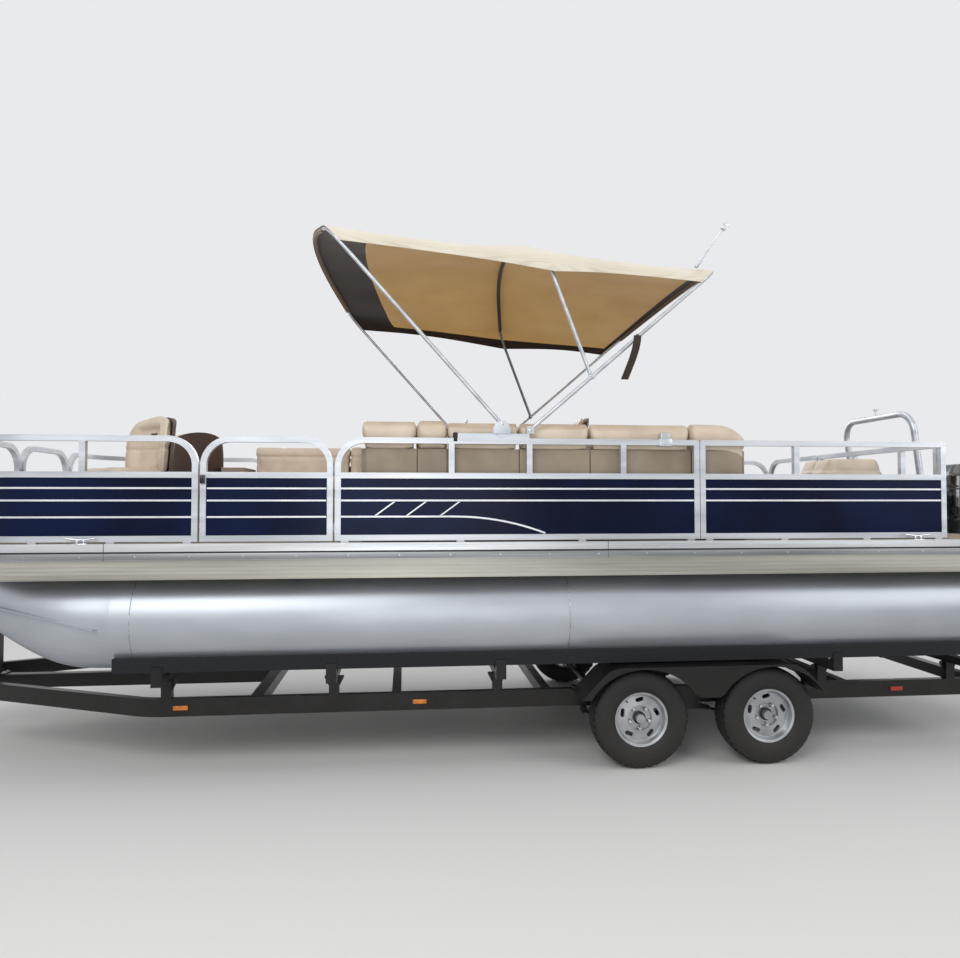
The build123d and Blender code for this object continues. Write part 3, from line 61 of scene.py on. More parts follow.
# Picking, placing and finishing a piece
def alone():
    """Leaves edit mode and lets go of everything."""
    if bpy.context.object and bpy.context.object.mode != "OBJECT":
        bpy.ops.object.mode_set(mode="OBJECT")
    bpy.ops.object.select_all(action="DESELECT")


def pick(piece):
    """Holds one piece alone."""
    alone()
    piece.select_set(True)
    bpy.context.view_layer.objects.active = piece


def settle(piece):
    """Puts a piece's place, turn and size into its mesh."""
    pick(piece)
    bpy.ops.object.transform_apply(location=True, rotation=True, scale=True)


def work(piece, chosen, action, how="FACE"):
    """Picks the faces (or edges, or points) that pass a test and runs one edit on them."""
    pick(piece)
    bpy.ops.object.mode_set(mode="EDIT")
    bpy.ops.mesh.select_mode(type=how)
    bpy.ops.mesh.select_all(action="DESELECT")
    bpy.ops.object.mode_set(mode="OBJECT")
    parts = {"FACE": piece.data.polygons, "EDGE": piece.data.edges, "VERT": piece.data.vertices}[how]
    for part in parts:
        part.select = bool(chosen(part))
    bpy.ops.object.mode_set(mode="EDIT")
    action()
    bpy.ops.object.mode_set(mode="OBJECT")


def everything(part):
    """Every part passes."""
    return True


def faces_up(face):
    """The flat ends of a piece that stands along Z."""
    return abs(face.normal.z) > 0.9


def eased(offset, steps):
    """The edit that rounds what is picked."""
    return lambda: bpy.ops.mesh.bevel(offset=offset, segments=steps, affect="EDGES")


def dress(piece, name, body, look, smooth=40):
    """Names, settles, shades and colours a piece, and puts it on the body that carries it."""
    settle(piece)
    piece.name = name
    piece.data.name = name
    bpy.ops.object.shade_smooth_by_angle(angle=radians(smooth))
    piece.data.materials.clear()
    for finish in look if isinstance(look, (list, tuple)) else (look,):
        piece.data.materials.append(finish)
    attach(piece, body)
    return piece


def join(pieces):
    """Makes one piece of several."""
    alone()
    for piece in pieces:
        piece.select_set(True)
    bpy.context.view_layer.objects.active = pieces[0]
    if len(pieces) > 1:
        bpy.ops.object.join()
    return bpy.context.view_layer.objects.active


def twin(piece):
    """A copy with a mesh of its own."""
    pick(piece)
    bpy.ops.object.duplicate()
    return bpy.context.view_layer.objects.active


def modify(piece, kind, **settings):
    """Adds one modifier."""
    modifier = piece.modifiers.new(kind, kind)
    for key, value in settings.items():
        setattr(modifier, key, value)


def apply_all(piece):
    """Works a piece's modifiers into its mesh."""
    pick(piece)
    for modifier in list(piece.modifiers):
        bpy.ops.object.modifier_apply(modifier=modifier.name)


def set_at(piece, place, turn=(0, 0, 0)):
    """Turns a piece made at the origin and puts it in its place."""
    piece.rotation_euler = turn
    piece.location = place
    settle(piece)
    return piece


def aimed(piece, place, towards):
    """Turns a piece made along +Z to look one way, and puts it in its place."""
    piece.rotation_mode = "QUATERNION"
    piece.rotation_quaternion = Vector(UP).rotation_difference(Vector(towards))
    piece.location = place
    settle(piece)
    piece.rotation_mode = "XYZ"
    return piece


# Shapes that the pieces start from
def block(low, high):
    """A sharp block between two corners."""
    low, high = Vector(low), Vector(high)
    alone()
    bpy.ops.mesh.primitive_cube_add(size=1, location=(low + high) / 2, scale=high - low)
    piece = bpy.context.object
    settle(piece)
    return piece


def brick(low, high, soft=0.004, steps=2):
    """A block between two corners with its edges eased."""
    piece = block(low, high)
    work(piece, everything, eased(soft, steps))
    return piece


def sided(side, low, high, soft=0.004, steps=2):
    """A block whose corners are given for port, or its mirror image to starboard."""
    near, far = sorted((side * low[1], side * high[1]))
    return brick((low[0], near, low[2]), (high[0], far, high[2]), soft, steps)


def rounded_block(low, high, corner, edge):
    """A block with round upright corners and softer long edges."""
    piece = block(low, high)

    def upright(line):
        a, b = (piece.data.vertices[i].co for i in line.vertices)
        return abs(a.z - b.z) > 0.0001

    work(piece, upright, eased(corner, 8), "EDGE")
    work(piece, faces_up, eased(edge, 4))
    return piece


def bar(start, end, radius, ease=0.0015, sides=24):
    """A round bar with eased ends."""
    start, end = Vector(start), Vector(end)
    alone()
    bpy.ops.mesh.primitive_cylinder_add(vertices=sides, radius=radius, depth=(end - start).length)
    piece = bpy.context.object
    work(piece, faces_up, eased(ease, 2))
    return aimed(piece, (start + end) / 2, end - start)


def drawn(points, kind, flat):
    """A curve through (x, y, z) points: its object, its data and its one line."""
    alone()
    path = bpy.data.curves.new("drawn", "CURVE")
    path.dimensions = flat
    line = path.splines.new(kind)
    line.points.add(len(points) - 1)
    for point, place in zip(line.points, points):
        point.co = (*place, 1)
    piece = bpy.data.objects.new("drawn", path)
    bpy.context.scene.collection.objects.link(piece)
    return piece, path, line


def bent(points, radius, sides=3, order=3):
    """A rod or cable that bends smoothly past its points."""
    piece, path, line = drawn(points, "NURBS", "3D")
    line.order_u = order
    line.use_endpoint_u = True
    line.resolution_u = 6
    path.bevel_depth = radius
    path.bevel_resolution = sides
    path.use_fill_caps = True
    pick(piece)
    bpy.ops.object.convert(target="MESH")
    return bpy.context.object


def turned(profile, start, towards, steps=32):
    """A lathe piece: (radius, distance) pairs spun round the line from start."""
    alone()
    bpy.ops.mesh.primitive_plane_add(size=0.01)
    piece = bpy.context.object
    work(piece, everything, lambda: bpy.ops.mesh.merge(type="CENTER"), "VERT")
    piece.data.vertices[0].co = (profile[0][0], 0, profile[0][1])
    here = profile[0]
    pick(piece)
    bpy.ops.object.mode_set(mode="EDIT")
    bpy.ops.mesh.select_mode(type="VERT")
    bpy.ops.mesh.select_all(action="SELECT")
    for radius, along in profile[1:]:
        step = (radius - here[0], 0, along - here[1])
        bpy.ops.mesh.extrude_region_move(TRANSFORM_OT_translate={"value": step})
        here = (radius, along)
    bpy.ops.mesh.select_all(action="SELECT")
    bpy.ops.mesh.spin(steps=steps, angle=2 * pi, center=(0, 0, 0), axis=(0, 0, 1))
    bpy.ops.mesh.select_all(action="SELECT")
    bpy.ops.mesh.remove_doubles(threshold=0.00002)
    bpy.ops.mesh.normals_make_consistent(inside=False)
    bpy.ops.object.mode_set(mode="OBJECT")
    return aimed(piece, start, towards)


def mirrored(half):
    """A profile and its reflection about the middle."""
    return (*half, *((radius, -along) for radius, along in reversed(half)))


def solid_copy(node):
    """A merged copy of a CAD node's mesh, as a piece of its own."""
    source = bpy.data.objects[node]
    piece = bpy.data.objects.new(node + "_copy", source.data.copy())
    bpy.context.scene.collection.objects.link(piece)
    pick(piece)
    work(piece, everything, lambda: bpy.ops.mesh.remove_doubles(threshold=0.0001), "VERT")
    return piece


def split(piece):
    """The loose parts of a piece, each on its own."""
    pick(piece)
    bpy.ops.mesh.separate(type="LOOSE")
    return list(bpy.context.selected_objects)


def hoop(middle, axis, big, small, steps=72, sides=8):
    """A round bead about an axis."""
    alone()
    bpy.ops.mesh.primitive_torus_add(
        major_radius=big, minor_radius=small, major_segments=steps, minor_segments=sides)
    return aimed(bpy.context.object, middle, axis)


def band(points, z, height, thick):
    """A strip on edge that follows points at one height."""
    piece, path, line = drawn([(point.x, point.y, 0) for point in points], "POLY", "2D")
    path.fill_mode = "NONE"
    path.extrude = height / 2
    piece.location = (0, 0, z)
    pick(piece)
    bpy.ops.object.convert(target="MESH")
    piece = bpy.context.object
    settle(piece)
    modify(piece, "SOLIDIFY", thickness=thick, offset=0)
    modify(piece, "BEVEL", width=min(thick, height) * 0.3, segments=2)
    apply_all(piece)
    return piece


def bolt(place, towards, size=0.009):
    """A hex head on its washer."""
    place, way = Vector(place), Vector(towards).normalized()
    washer = bar(place - way * 0.002, place + way * size * 0.3, size * 1.25, size * 0.1, 20)
    head = bar(place + way * size * 0.3, place + way * size * 1.0, size, size * 0.12, 6)
    return join([washer, head])


def onto(piece, start, towards):
    """Where a line first meets a piece."""
    bpy.context.view_layer.update()
    back = piece.matrix_world.inverted()
    _, place, _, _ = piece.ray_cast(back @ Vector(start), back.to_3x3() @ Vector(towards))
    return piece.matrix_world @ place


def inset(piece, start, towards, half, soft):
    """A small block of some half size, centred where a line meets a piece's skin."""
    place = onto(piece, start, towards)
    return brick(place - Vector(half), place + Vector(half), soft)


def stamped(source, spots):
    """A piece repeated at (place, turn) spots, as one piece."""
    copies = [set_at(twin(source), place, turn) for place, turn in spots]
    bpy.data.objects.remove(source)
    return join(copies)


def rounded(corners, radii, each=10):
    """A line with its corners rounded, as even points."""
    points = [Vector(corners[0])]
    for before, corner, after, radius in zip(corners, corners[1:], corners[2:], radii):
        corner = Vector(corner)
        to_a, to_b = (Vector(before) - corner).normalized(), (Vector(after) - corner).normalized()
        half = to_a.angle(to_b) / 2
        reach = radius / tan(half)
        centre = corner + (to_a + to_b).normalized() * (radius / sin(half))
        first, last = corner + to_a * reach - centre, corner + to_b * reach - centre
        for i in range(each + 1):
            points.append(centre + first.normalized().slerp(last.normalized(), i / each) * radius)
    points.append(Vector(corners[-1]))
    lengths = [0.0]
    for a, b in zip(points, points[1:]):
        lengths.append(lengths[-1] + (b - a).length)
    return points, lengths


def along(points, lengths, share):
    """The point at a share of the way along."""
    want = share * lengths[-1]
    for i in range(len(lengths) - 1):
        if want <= lengths[i + 1] + TINY:
            part = (want - lengths[i]) / max(lengths[i + 1] - lengths[i], TINY)
            return points[i].lerp(points[i + 1], part)
    return points[-1]


# Finishes
def tone(hex_code):
    """A hex sRGB colour as linear red, green, blue."""
    parts = [int(hex_code[i:i + 2], 16) / 255 for i in (1, 3, 5)]
    return [c / 12.92 if c <= 0.04045 else ((c + 0.055) / 1.055) ** 2.4 for c in parts] + [1.0]


def node(tree, kind, links=(), **settings):
    """Adds one node; a setting named like an input fills it, and links join outputs to inputs."""
    made = tree.nodes.new(kind)
    for key, value in settings.items():
        if hasattr(made, key):
            setattr(made, key, value)
        else:
            made.inputs[key.replace("_", " ")].default_value = value
    for source, target in links:
        tree.links.new(source, made.inputs[target])
    return made


def finish_of(name, **base):
    """A material with its Principled shader set."""
    made = bpy.data.materials.new(name)
    made.use_nodes = True
    shader = made.node_tree.nodes["Principled BSDF"]
    for key, value in base.items():
        shader.inputs[key.replace("_", " ")].default_value = value
    return made, made.node_tree, shader


def places(tree, size=(1, 1, 1)):
    """Object coordinates, stretched."""
    where = node(tree, "ShaderNodeTexCoord")
    return node(tree, "ShaderNodeMapping", ((where.outputs["Object"], "Vector"),), Scale=size).outputs[0]


def noise(tree, at, scale, detail):
    """Cloudy noise over some coordinates."""
    return node(tree, "ShaderNodeTexNoise", ((at, "Vector"),), Scale=scale, Detail=detail).outputs["Fac"]


def coloured(tree, shader, source, dark, light, low, high):
    """Takes a finish from one colour to another as a source goes from low to high."""
    ramp = node(tree, "ShaderNodeValToRGB", ((source, "Fac"),))
    for stop, place, colour in zip(ramp.color_ramp.elements, (low, high), (dark, light)):
        stop.position = place
        stop.color = tone(colour)
    tree.links.new(ramp.outputs[0], shader.inputs["Base Color"])
    return ramp.outputs[0]


def dulled(tree, shader, source, low, high):
    """Takes a finish from shiny to dull with a source."""
    dull = node(tree, "ShaderNodeMapRange", ((source, "Value"),), To_Min=low, To_Max=high)
    tree.links.new(dull.outputs[0], shader.inputs["Roughness"])


def raised(tree, shader, source, strength, distance):
    """Lifts the skin of a finish with a source."""
    lift = node(tree, "ShaderNodeBump", ((source, "Height"),), Strength=strength, Distance=distance)
    tree.links.new(lift.outputs[0], shader.inputs["Normal"])


def grainy(name, dark, light, rough, metal=0.0, period=0.02, stretch=(1, 1, 1), bump=0.0, depth=0.001,
           detail=4.0, spread=(0.35, 0.65), **base):
    """A finish whose colour and roughness wander, with a fine bump; period is in metres."""
    made, tree, shader = finish_of(name, Metallic=metal, **base)
    at = places(tree, stretch)
    cloud = noise(tree, at, 1 / period, detail)
    coloured(tree, shader, cloud, dark, light, *spread)
    dulled(tree, shader, cloud, *rough)
    if bump:
        raised(tree, shader, noise(tree, at, 1 / bump, 2.0), 0.5, depth)
    return made


def tinted_low_down(made, colour, low, high, amount):
    """Blends a colour, in noise patches, into the lower part of a finish: up to amount at height low, fading to a
    trace by height high.
    """
    tree = made.node_tree
    shader = tree.nodes["Principled BSDF"]
    was = shader.inputs["Base Color"].links[0].from_socket
    at = node(tree, "ShaderNodeTexCoord").outputs["Object"]
    height = node(tree, "ShaderNodeSeparateXYZ", ((at, "Vector"),)).outputs["Z"]
    fade = node(tree, "ShaderNodeMapRange", ((height, "Value"),), From_Min=low, From_Max=high,
                To_Min=amount, To_Max=0.02)
    much = node(tree, "ShaderNodeMath", ((fade.outputs[0], 0), (noise(tree, at, 28.0, 6.0), 1)),
                operation="MULTIPLY")
    blended = node(tree, "ShaderNodeMix", ((much.outputs[0], 0), (was, 6)), data_type="RGBA")
    blended.inputs[7].default_value = tone(colour)
    tree.links.new(blended.outputs[2], shader.inputs["Base Color"])
    return made


def woven(name, dark, light, thread, rough=0.9, sheen=0.3, glow=0.0):
    """Woven cloth: two crossed sets of threads, thread metres apart; glow is painted light, an emission standing in
    for light that soaks through.
    """
    made, tree, shader = finish_of(name, Roughness=rough, Sheen_Weight=sheen, Sheen_Roughness=0.5)
    at = places(tree)
    warp, weft = (
        node(tree, "ShaderNodeTexWave", ((at, "Vector"),), wave_type="BANDS", bands_direction=way,
             Scale=1 / (thread * 6.2832 / 2), Distortion=0.6, Detail=1.0, Detail_Scale=3.0).outputs["Fac"]
        for way in "XY")
    cross = node(tree, "ShaderNodeMath", ((warp, 0), (weft, 1)), operation="MULTIPLY").outputs[0]
    both = node(tree, "ShaderNodeMath", ((cross, 0), (noise(tree, at, 2.2, 5.0), 1)), operation="ADD")
    colour = coloured(tree, shader, both.outputs[0], dark, light, 0.35, 0.95)
    if glow:
        tree.links.new(colour, shader.inputs["Emission Color"])
        shader.inputs["Emission Strength"].default_value = glow
    raised(tree, shader, cross, 0.35, 0.0006)
    return made


def grained(name, dark, light, rough=0.42, grain=0.004):
    """Marine vinyl: a soft shine over pressed leather grain."""
    made, tree, shader = finish_of(name, Coat_Weight=0.12, Coat_Roughness=0.35)
    at = places(tree)
    cells = node(tree, "ShaderNodeTexVoronoi", ((at, "Vector"),), feature="DISTANCE_TO_EDGE", Scale=1 / grain)
    cloud = noise(tree, at, 5.0, 6.0)
    coloured(tree, shader, cloud, dark, light, 0.3, 0.7)
    dulled(tree, shader, cloud, rough - 0.08, rough + 0.14)
    raised(tree, shader, cells.outputs["Distance"], 0.3, 0.0008)
    return made


# Extruded and anodised: satin, with draw lines too faint to see past a metre
anodised_tube = grainy("anodised_tube", "#b3b8be", "#cfd3d8", (0.26, 0.4), metal=0.6, period=0.3,
                       stretch=(0.3, 1, 4), bump=0.003, depth=0.0002)
# Rolled edge extrusion, brighter and a little scuffed
anodised_edge = grainy("anodised_edge", "#bcc0c4", "#d9dcdf", (0.22, 0.42), metal=0.6, period=0.25,
                       stretch=(0.2, 1, 6), bump=0.004, depth=0.0002)
# Baked enamel on sheet: deep navy with a wet gloss
navy_enamel = grainy("navy_enamel", "#040c24", "#081636", (0.16, 0.24), period=0.5, bump=0.006, depth=0.00008,
                     Specular_IOR_Level=0.12)
# The rub rail's shaded lower channel
dark_edge = grainy("dark_edge", "#7b7e81", "#989b9d", (0.35, 0.5), metal=0.8, period=0.25, stretch=(0.2, 1, 6))
# Painted silver moulding
silver_stripe = grainy("silver_stripe", "#ccd0d4", "#e0e3e6", (0.3, 0.4), metal=0.35, period=0.3)
# Bare rolled sheet, water-stained in long streaks
mill_aluminium = grainy("mill_aluminium", "#9ea3aa", "#b7bcc3", (0.32, 0.44), metal=0.6, period=0.22,
                        stretch=(0.3, 1.2, 1), bump=0.005, depth=0.0003, detail=8.0, spread=(0.2, 0.8))
frame_aluminium = grainy("frame_aluminium", "#5f6367", "#8b8f93", (0.4, 0.55), metal=0.85, period=0.12)
# Ribbed skirt sheet: its warm beige-grey tint is a painted reflection of grassy ground
ribbed_sheet = grainy("ribbed_sheet", "#96958d", "#b6b4aa", (0.3, 0.45), metal=0.6, period=0.4,
                      stretch=(0.2, 1, 3))
weld_bead = grainy("weld_bead", "#7c8084", "#d5d8da", (0.3, 0.5), metal=0.9, period=0.008, bump=0.006,
                   depth=0.002)
# Black enamel on steel, tinted lighter and browner in patches low down
black_enamel = tinted_low_down(grainy("black_enamel", "#060607", "#101012", (0.24, 0.42), period=0.2, bump=0.01,
                              depth=0.0002, Specular_IOR_Level=0.35), "#6f6557", 0.15, 0.75, 0.12)
zinc_steel = grainy("zinc_steel", "#85898c", "#b3b6b8", (0.34, 0.5), metal=0.85, period=0.02, detail=1.0)
stainless = grainy("stainless", "#b9bcc0", "#d8dadd", (0.12, 0.2), metal=1.0, period=0.1)
# Vulcanised rubber, tinted brown-grey in patches low down
tyre_rubber = tinted_low_down(grainy("tyre_rubber", "#0a0a0b", "#151515", (0.6, 0.8), period=0.03, bump=0.004,
                             depth=0.0008), "#6f665a", 0.02, 0.5, 0.12)
black_rubber = grainy("black_rubber", "#111112", "#1d1d1e", (0.6, 0.8), period=0.02, bump=0.003, depth=0.0003)
# Silver wheel paint, tinted greyish brown in patches low down
wheel_silver = tinted_low_down(grainy("wheel_silver", "#94979b", "#b9bbbe", (0.24, 0.38), metal=0.7, period=0.15,
                              Coat_Weight=0.4), "#8f8676", 0.05, 0.6, 0.15)
beige_vinyl = grained("beige_vinyl", "#bfae9a", "#d5c6b2")
# Roto-moulded seat shells: matte, with a faint pebble
greige_shell = grainy("greige_shell", "#7f7262", "#988a78", (0.45, 0.6), period=0.3, bump=0.003, depth=0.0004)
brown_shell = grainy("brown_shell", "#3d2c24", "#523c31", (0.4, 0.55), period=0.2, bump=0.003, depth=0.0004)
# Gel-like moulded console
console_skin = grainy("console_skin", "#c2b396", "#d6c8ac", (0.22, 0.36), period=0.4, Coat_Weight=0.3)
dash_panel = grainy("dash_panel", "#2a1f1a", "#3c2d25", (0.3, 0.45), period=0.1, bump=0.003, depth=0.0003)
dial_face = grainy("dial_face", "#0c0c0d", "#161617", (0.2, 0.3), period=0.1)
dial_mark = grainy("dial_mark", "#d8d8d2", "#f0f0ea", (0.5, 0.6), period=0.1)
clear_lens = grainy("clear_lens", "#dfe5e8", "#f2f6f8", (0.04, 0.08), period=0.1, Transmission_Weight=0.6,
                    IOR=1.49)
red_lens = grainy("red_lens", "#7d0c0c", "#a81414", (0.1, 0.18), period=0.05, Coat_Weight=0.5)
amber_lens = grainy("amber_lens", "#b35a08", "#d67a14", (0.1, 0.18), period=0.05, Coat_Weight=0.5)
green_lens = grainy("green_lens", "#0a5c30", "#128045", (0.1, 0.18), period=0.05, Coat_Weight=0.5)
lamp_case = grainy("lamp_case", "#131313", "#1e1e1e", (0.35, 0.5), period=0.05)
gloss_black = grainy("gloss_black", "#08090b", "#101114", (0.07, 0.14), period=0.4, Coat_Weight=0.7,
                     Coat_Roughness=0.04)
satin_black = grainy("satin_black", "#0e0f11", "#17181b", (0.28, 0.4), period=0.1, bump=0.004, depth=0.0002)
soft_grip = grainy("soft_grip", "#141415", "#1f1f20", (0.55, 0.7), period=0.05, bump=0.002, depth=0.0004)
# Bunk carpet: wet-look loop pile
bunk_carpet = grainy("bunk_carpet", "#0c0d0f", "#212327", (0.92, 1.0), period=0.006, bump=0.004, depth=0.003,
                     detail=6.0)
# Woven floor: 12 mm baskets, drawn coarser than the yarn so that they show
floor_weave = woven("floor_weave", "#6a5a46", "#a08c6e", 0.012, rough=0.75, sheen=0.1)
# Solution-dyed canvas: cream outside; below, painted light: a tan colour with a painted glow, standing in for light
# that soaks through
canvas_top = woven("canvas_top", "#c6bca8", "#ded6c6", 0.006)
canvas_under_painted_glow = woven("canvas_under_painted_glow", "#b98f50", "#d9b274", 0.006, glow=0.16)
canvas_dark = woven("canvas_dark", "#1c1310", "#33231a", 0.006)
canvas_hem = woven("canvas_hem", "#5f4a33", "#8a6f4e", 0.006)
webbing = woven("webbing", "#16171a", "#2b2d31", 0.003, rough=0.8)

for finish, nodes in (
    (black_enamel, "trailer_rails trailer_crossmembers trailer_tongue winch_post fenders axles leaf_springs"),
    (black_enamel, "bunk_brackets"), (zinc_steel, "coupler tongue_jack"), (bunk_carpet, "bunks"),
    (lamp_case, "tail_lamps"), (mill_aluminium, "pontoon_port pontoon_starboard motor_pod"),
    (frame_aluminium, "crossmembers seat_pedestals"), (floor_weave, "deck"), (anodised_edge, "deck_trim"),
    (ribbed_sheet, "side_skirts"),
    (anodised_tube, "port_rail starboard_rail port_bow_rail starboard_bow_rail stern_rail port_gate"),
    (anodised_tube, "bow_gate stern_gate ski_tow_bar bimini_base bimini_rear_bow bimini_front_bow"),
    (anodised_tube, "bimini_mid_bow"), (silver_stripe, "panel_stripes"), (greige_shell, "lounge_base"),
    (navy_enamel, "fence_panels port_gate_panel bow_gate_panel stern_gate_panel"),
    (beige_vinyl, "lounge_cushions aft_chair"), (console_skin, "console"), (soft_grip, "helm_wheel"),
    (brown_shell, "bow_chair_port bow_chair_starboard helm_chair"), (gloss_black, "outboard_cowling"),
    (satin_black, "outboard_leg outboard_swivel outboard_bracket propeller"), (canvas_top, "bimini_canopy"),
    (tyre_rubber, "tyre_front_port tyre_front_starboard tyre_rear_port tyre_rear_starboard"),
    (wheel_silver, "wheel_front_port wheel_front_starboard wheel_rear_port wheel_rear_starboard"),
):
    for name in nodes.split():
        mesh = bpy.data.objects[name].data
        mesh.materials.clear()
        mesh.materials.append(finish)


# Tyres: trailer bias pattern, ribs round the middle and lugs at the shoulders
columns = 120
first_tyre = turned(mirrored((
    (0.1705, 0.070), (0.178, 0.079), (0.200, 0.088), (0.230, 0.0920), (0.262, 0.0905), (0.284, 0.0850),
    (0.300, 0.0760), (0.3085, 0.0660), (0.3095, 0.0440), (0.3105, 0.0430), (0.3105, 0.0410), (0.3040, 0.0400),
    (0.3040, 0.0340), (0.3120, 0.0330), (0.3125, 0.0120), (0.3060, 0.0110), (0.3060, 0.0060), (0.3130, 0.0050),
)), ORIGIN, PORT, columns)


def lug_gap(face):
    """Every third column of the shoulder band, which is cut down between the lugs."""
    centre = face.center
    radius = hypot(centre.x, centre.z)
    column = int((atan2(centre.z, centre.x) + pi) / (2 * pi) * columns)
    return column % 3 == 0 and radius > 0.302 and 0.044 < abs(centre.y) < 0.075


work(first_tyre, lug_gap, lambda: bpy.ops.mesh.extrude_region_shrink_fatten(
    TRANSFORM_OT_shrink_fatten={"value": -0.006}))


# Wheel trim, once at the origin with its face to +Y: nuts, cap, valve and bead lip
def hex_nut(x, z):
    """A chromed wheel nut on its seat."""
    nut = bar((x, 0.010, z), (x, 0.030, z), 0.011, 0.002, 6)
    cone = ((0.0, 0.0), (0.016, 0.0), (0.0145, 0.006), (0.011, 0.011), (0.0, 0.011))
    seat = turned(cone, (x, 0.002, z), PORT, 16)
    return [nut, seat]


wheel_bits, nut_circle = [], 0.068
for angle in map(radians, range(54, 414, 72)):
    wheel_bits += hex_nut(nut_circle * cos(angle), nut_circle * sin(angle))
first_nuts = join(wheel_bits)
first_boot, first_cap, first_valve, first_lip = (turned(profile, ORIGIN, PORT, steps) for steps, profile in (
    (40, ((0.040, -0.004), (0.040, 0.004), (0.036, 0.006), (0.034, 0.002), (0.020, 0.001), (0.0, 0.001))),
    (24, ((0.0165, 0.0), (0.0165, 0.012), (0.0145, 0.016), (0.006, 0.018), (0.0, 0.018))),
    (12, ((0.004, 0.0), (0.0055, 0.004), (0.004, 0.010), (0.0035, 0.026), (0.0025, 0.030), (0.0, 0.030))),
    (72, ((0.158, 0.0), (0.166, 0.003), (0.1725, 0.0045), (0.1745, 0.001), (0.1725, -0.003), (0.160, -0.004),
          (0.158, 0.0))),
))
first_ring = hoop((0, 0.001, 0), PORT, 0.146, 0.0035)
wheel_trim = (
    (first_nuts, "wheel_nuts", disc_out - 0.014, stainless, "zinc_steel"),
    (first_boot, "hub_boot", disc_out, black_rubber, "tyre_rubber"),
    (first_cap, "spindle_cap", disc_out, stainless, "zinc_steel"),
    (first_ring, "disc_bead", disc_out, wheel_silver, "wheel_silver"),
    (first_lip, "rim_lip", rim_half, wheel_silver, "wheel_silver"),
    (first_valve, "tyre_valve", disc_out + 0.002, black_rubber, "tyre_rubber"),
)
valve_circle, valve_angle = 0.138, 0.9
valve_off = Vector((valve_circle * cos(valve_angle), 0, valve_circle * sin(valve_angle)))
for place, x in axle_places:
    for side, side_name in sides:
        body = f"wheel_{place}_{side_name}_body"
        centre = Vector((x, side * wheel_y, wheel_z))
        tyre = twin(first_tyre)
        tyre.location = centre
        dress(tyre, f"road_tyre_{place}_{side_name}", body, tyre_rubber, 38)
        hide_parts(f"tyre_{place}_{side_name}")
        for source, label, out, look, slot in wheel_trim:
            shift = Vector((0, side * out, 0))
            if label == "tyre_valve":
                shift += valve_off
            piece = set_at(twin(source), centre + shift, (0, 0, 0 if side > 0 else pi))
            dress(piece, f"{label}_{place}_{side_name}", body, look)
for spare in (first_tyre, *(row[0] for row in wheel_trim)):
    bpy.data.objects.remove(spare)


# Padded seats
CLOTH_STIFFNESS, FILL_STEPS = 15.0, 20


def inflate(piece, cap, smooth=2):
    """Fills a pad: cloth blown up a little, then held to within cap of where it was."""
    start = [v.co.copy() for v in piece.data.vertices]
    cloth = piece.modifiers.new("Fill", "CLOTH")
    fill = cloth.settings
    fill.use_pressure = True
    fill.uniform_pressure_force = 4.0
    fill.effector_weights.gravity = 0
    fill.quality = 4
    fill.tension_stiffness = fill.compression_stiffness = CLOTH_STIFFNESS
    cloth.point_cache.frame_start = 1
    cloth.point_cache.frame_end = FILL_STEPS
    for step in range(1, FILL_STEPS + 1):
        bpy.context.scene.frame_set(step)
    pick(piece)
    bpy.ops.object.modifier_apply(modifier=cloth.name)
    bpy.context.scene.frame_set(1)
    for vertex, was in zip(piece.data.vertices, start):
        move = vertex.co - was
        if move.length > cap:
            vertex.co = was + move * (cap / move.length)
    modify(piece, "SMOOTH", iterations=smooth, factor=0.5)
    apply_all(piece)
    return piece


def remeshed(piece, voxel):
    """An even mesh for a pad."""
    pick(piece)
    piece.data.remesh_voxel_size = voxel
    bpy.ops.object.voxel_remesh()
    return piece


def kept_in(piece, low, high):
    """Holds every point of a piece between two corners."""
    for vertex in piece.data.vertices:
        for i in range(3):
            vertex.co[i] = min(max(vertex.co[i], low[i]), high[i])
    return piece


def shrunk(piece, by):
    """Draws a pad in on every side, so that it has room to fill."""
    corners = [[pick_end(v.co[i] for v in piece.data.vertices) for i in range(3)] for pick_end in (min, max)]
    low, high = map(Vector, corners)
    middle, size = (low + high) / 2, high - low
    for vertex in piece.data.vertices:
        for i in range(3):
            vertex.co[i] = middle[i] + (vertex.co[i] - middle[i]) * (1 - 2 * by / size[i])
    return piece


def sew(piece, seams, depth, width):
    """Pulls the skin in along planes: (axis, place) pairs."""
    ways = [vertex.normal.copy() for vertex in piece.data.vertices]
    for vertex, way in zip(piece.data.vertices, ways):
        pull = 0.0
        for axis, place in seams:
            away = abs(vertex.co[axis] - place) / width
            if away < 3:
                pull = max(pull, exp(-away * away))
        if pull:
            vertex.co -= way * depth * pull


# The lounge: one run of cushions, each filled in its own space and sewn
lounge = join([remeshed(shrunk(pad, 0.007), 0.014) for pad in split(solid_copy("lounge_cushions"))])
inflate(lounge, 0.014, 9)
sew(lounge, ((2, 2.105), (0, 1.736), (1, 0.86), (1, -0.86)), 0.007, 0.012)
low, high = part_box("lounge_cushions")
kept_in(lounge, low, (high[0], high[1], high[2] + 0.008))
dress(lounge, "lounge_pads", BOAT, beige_vinyl, 60)
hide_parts("lounge_cushions")
# The stern end of its back rolls down to the deck's rear
roll_x, roll_run, roll_drop = -1.38, 0.21, 0.075
for vertex in lounge.data.vertices:
    if vertex.co.x < roll_x and vertex.co.z > 1.95:
        vertex.co.z -= roll_drop * ((roll_x - vertex.co.x) / roll_run) ** 3


# Chairs, made once facing +X over the pedestal, then copied to each place
seat_top = 0.445


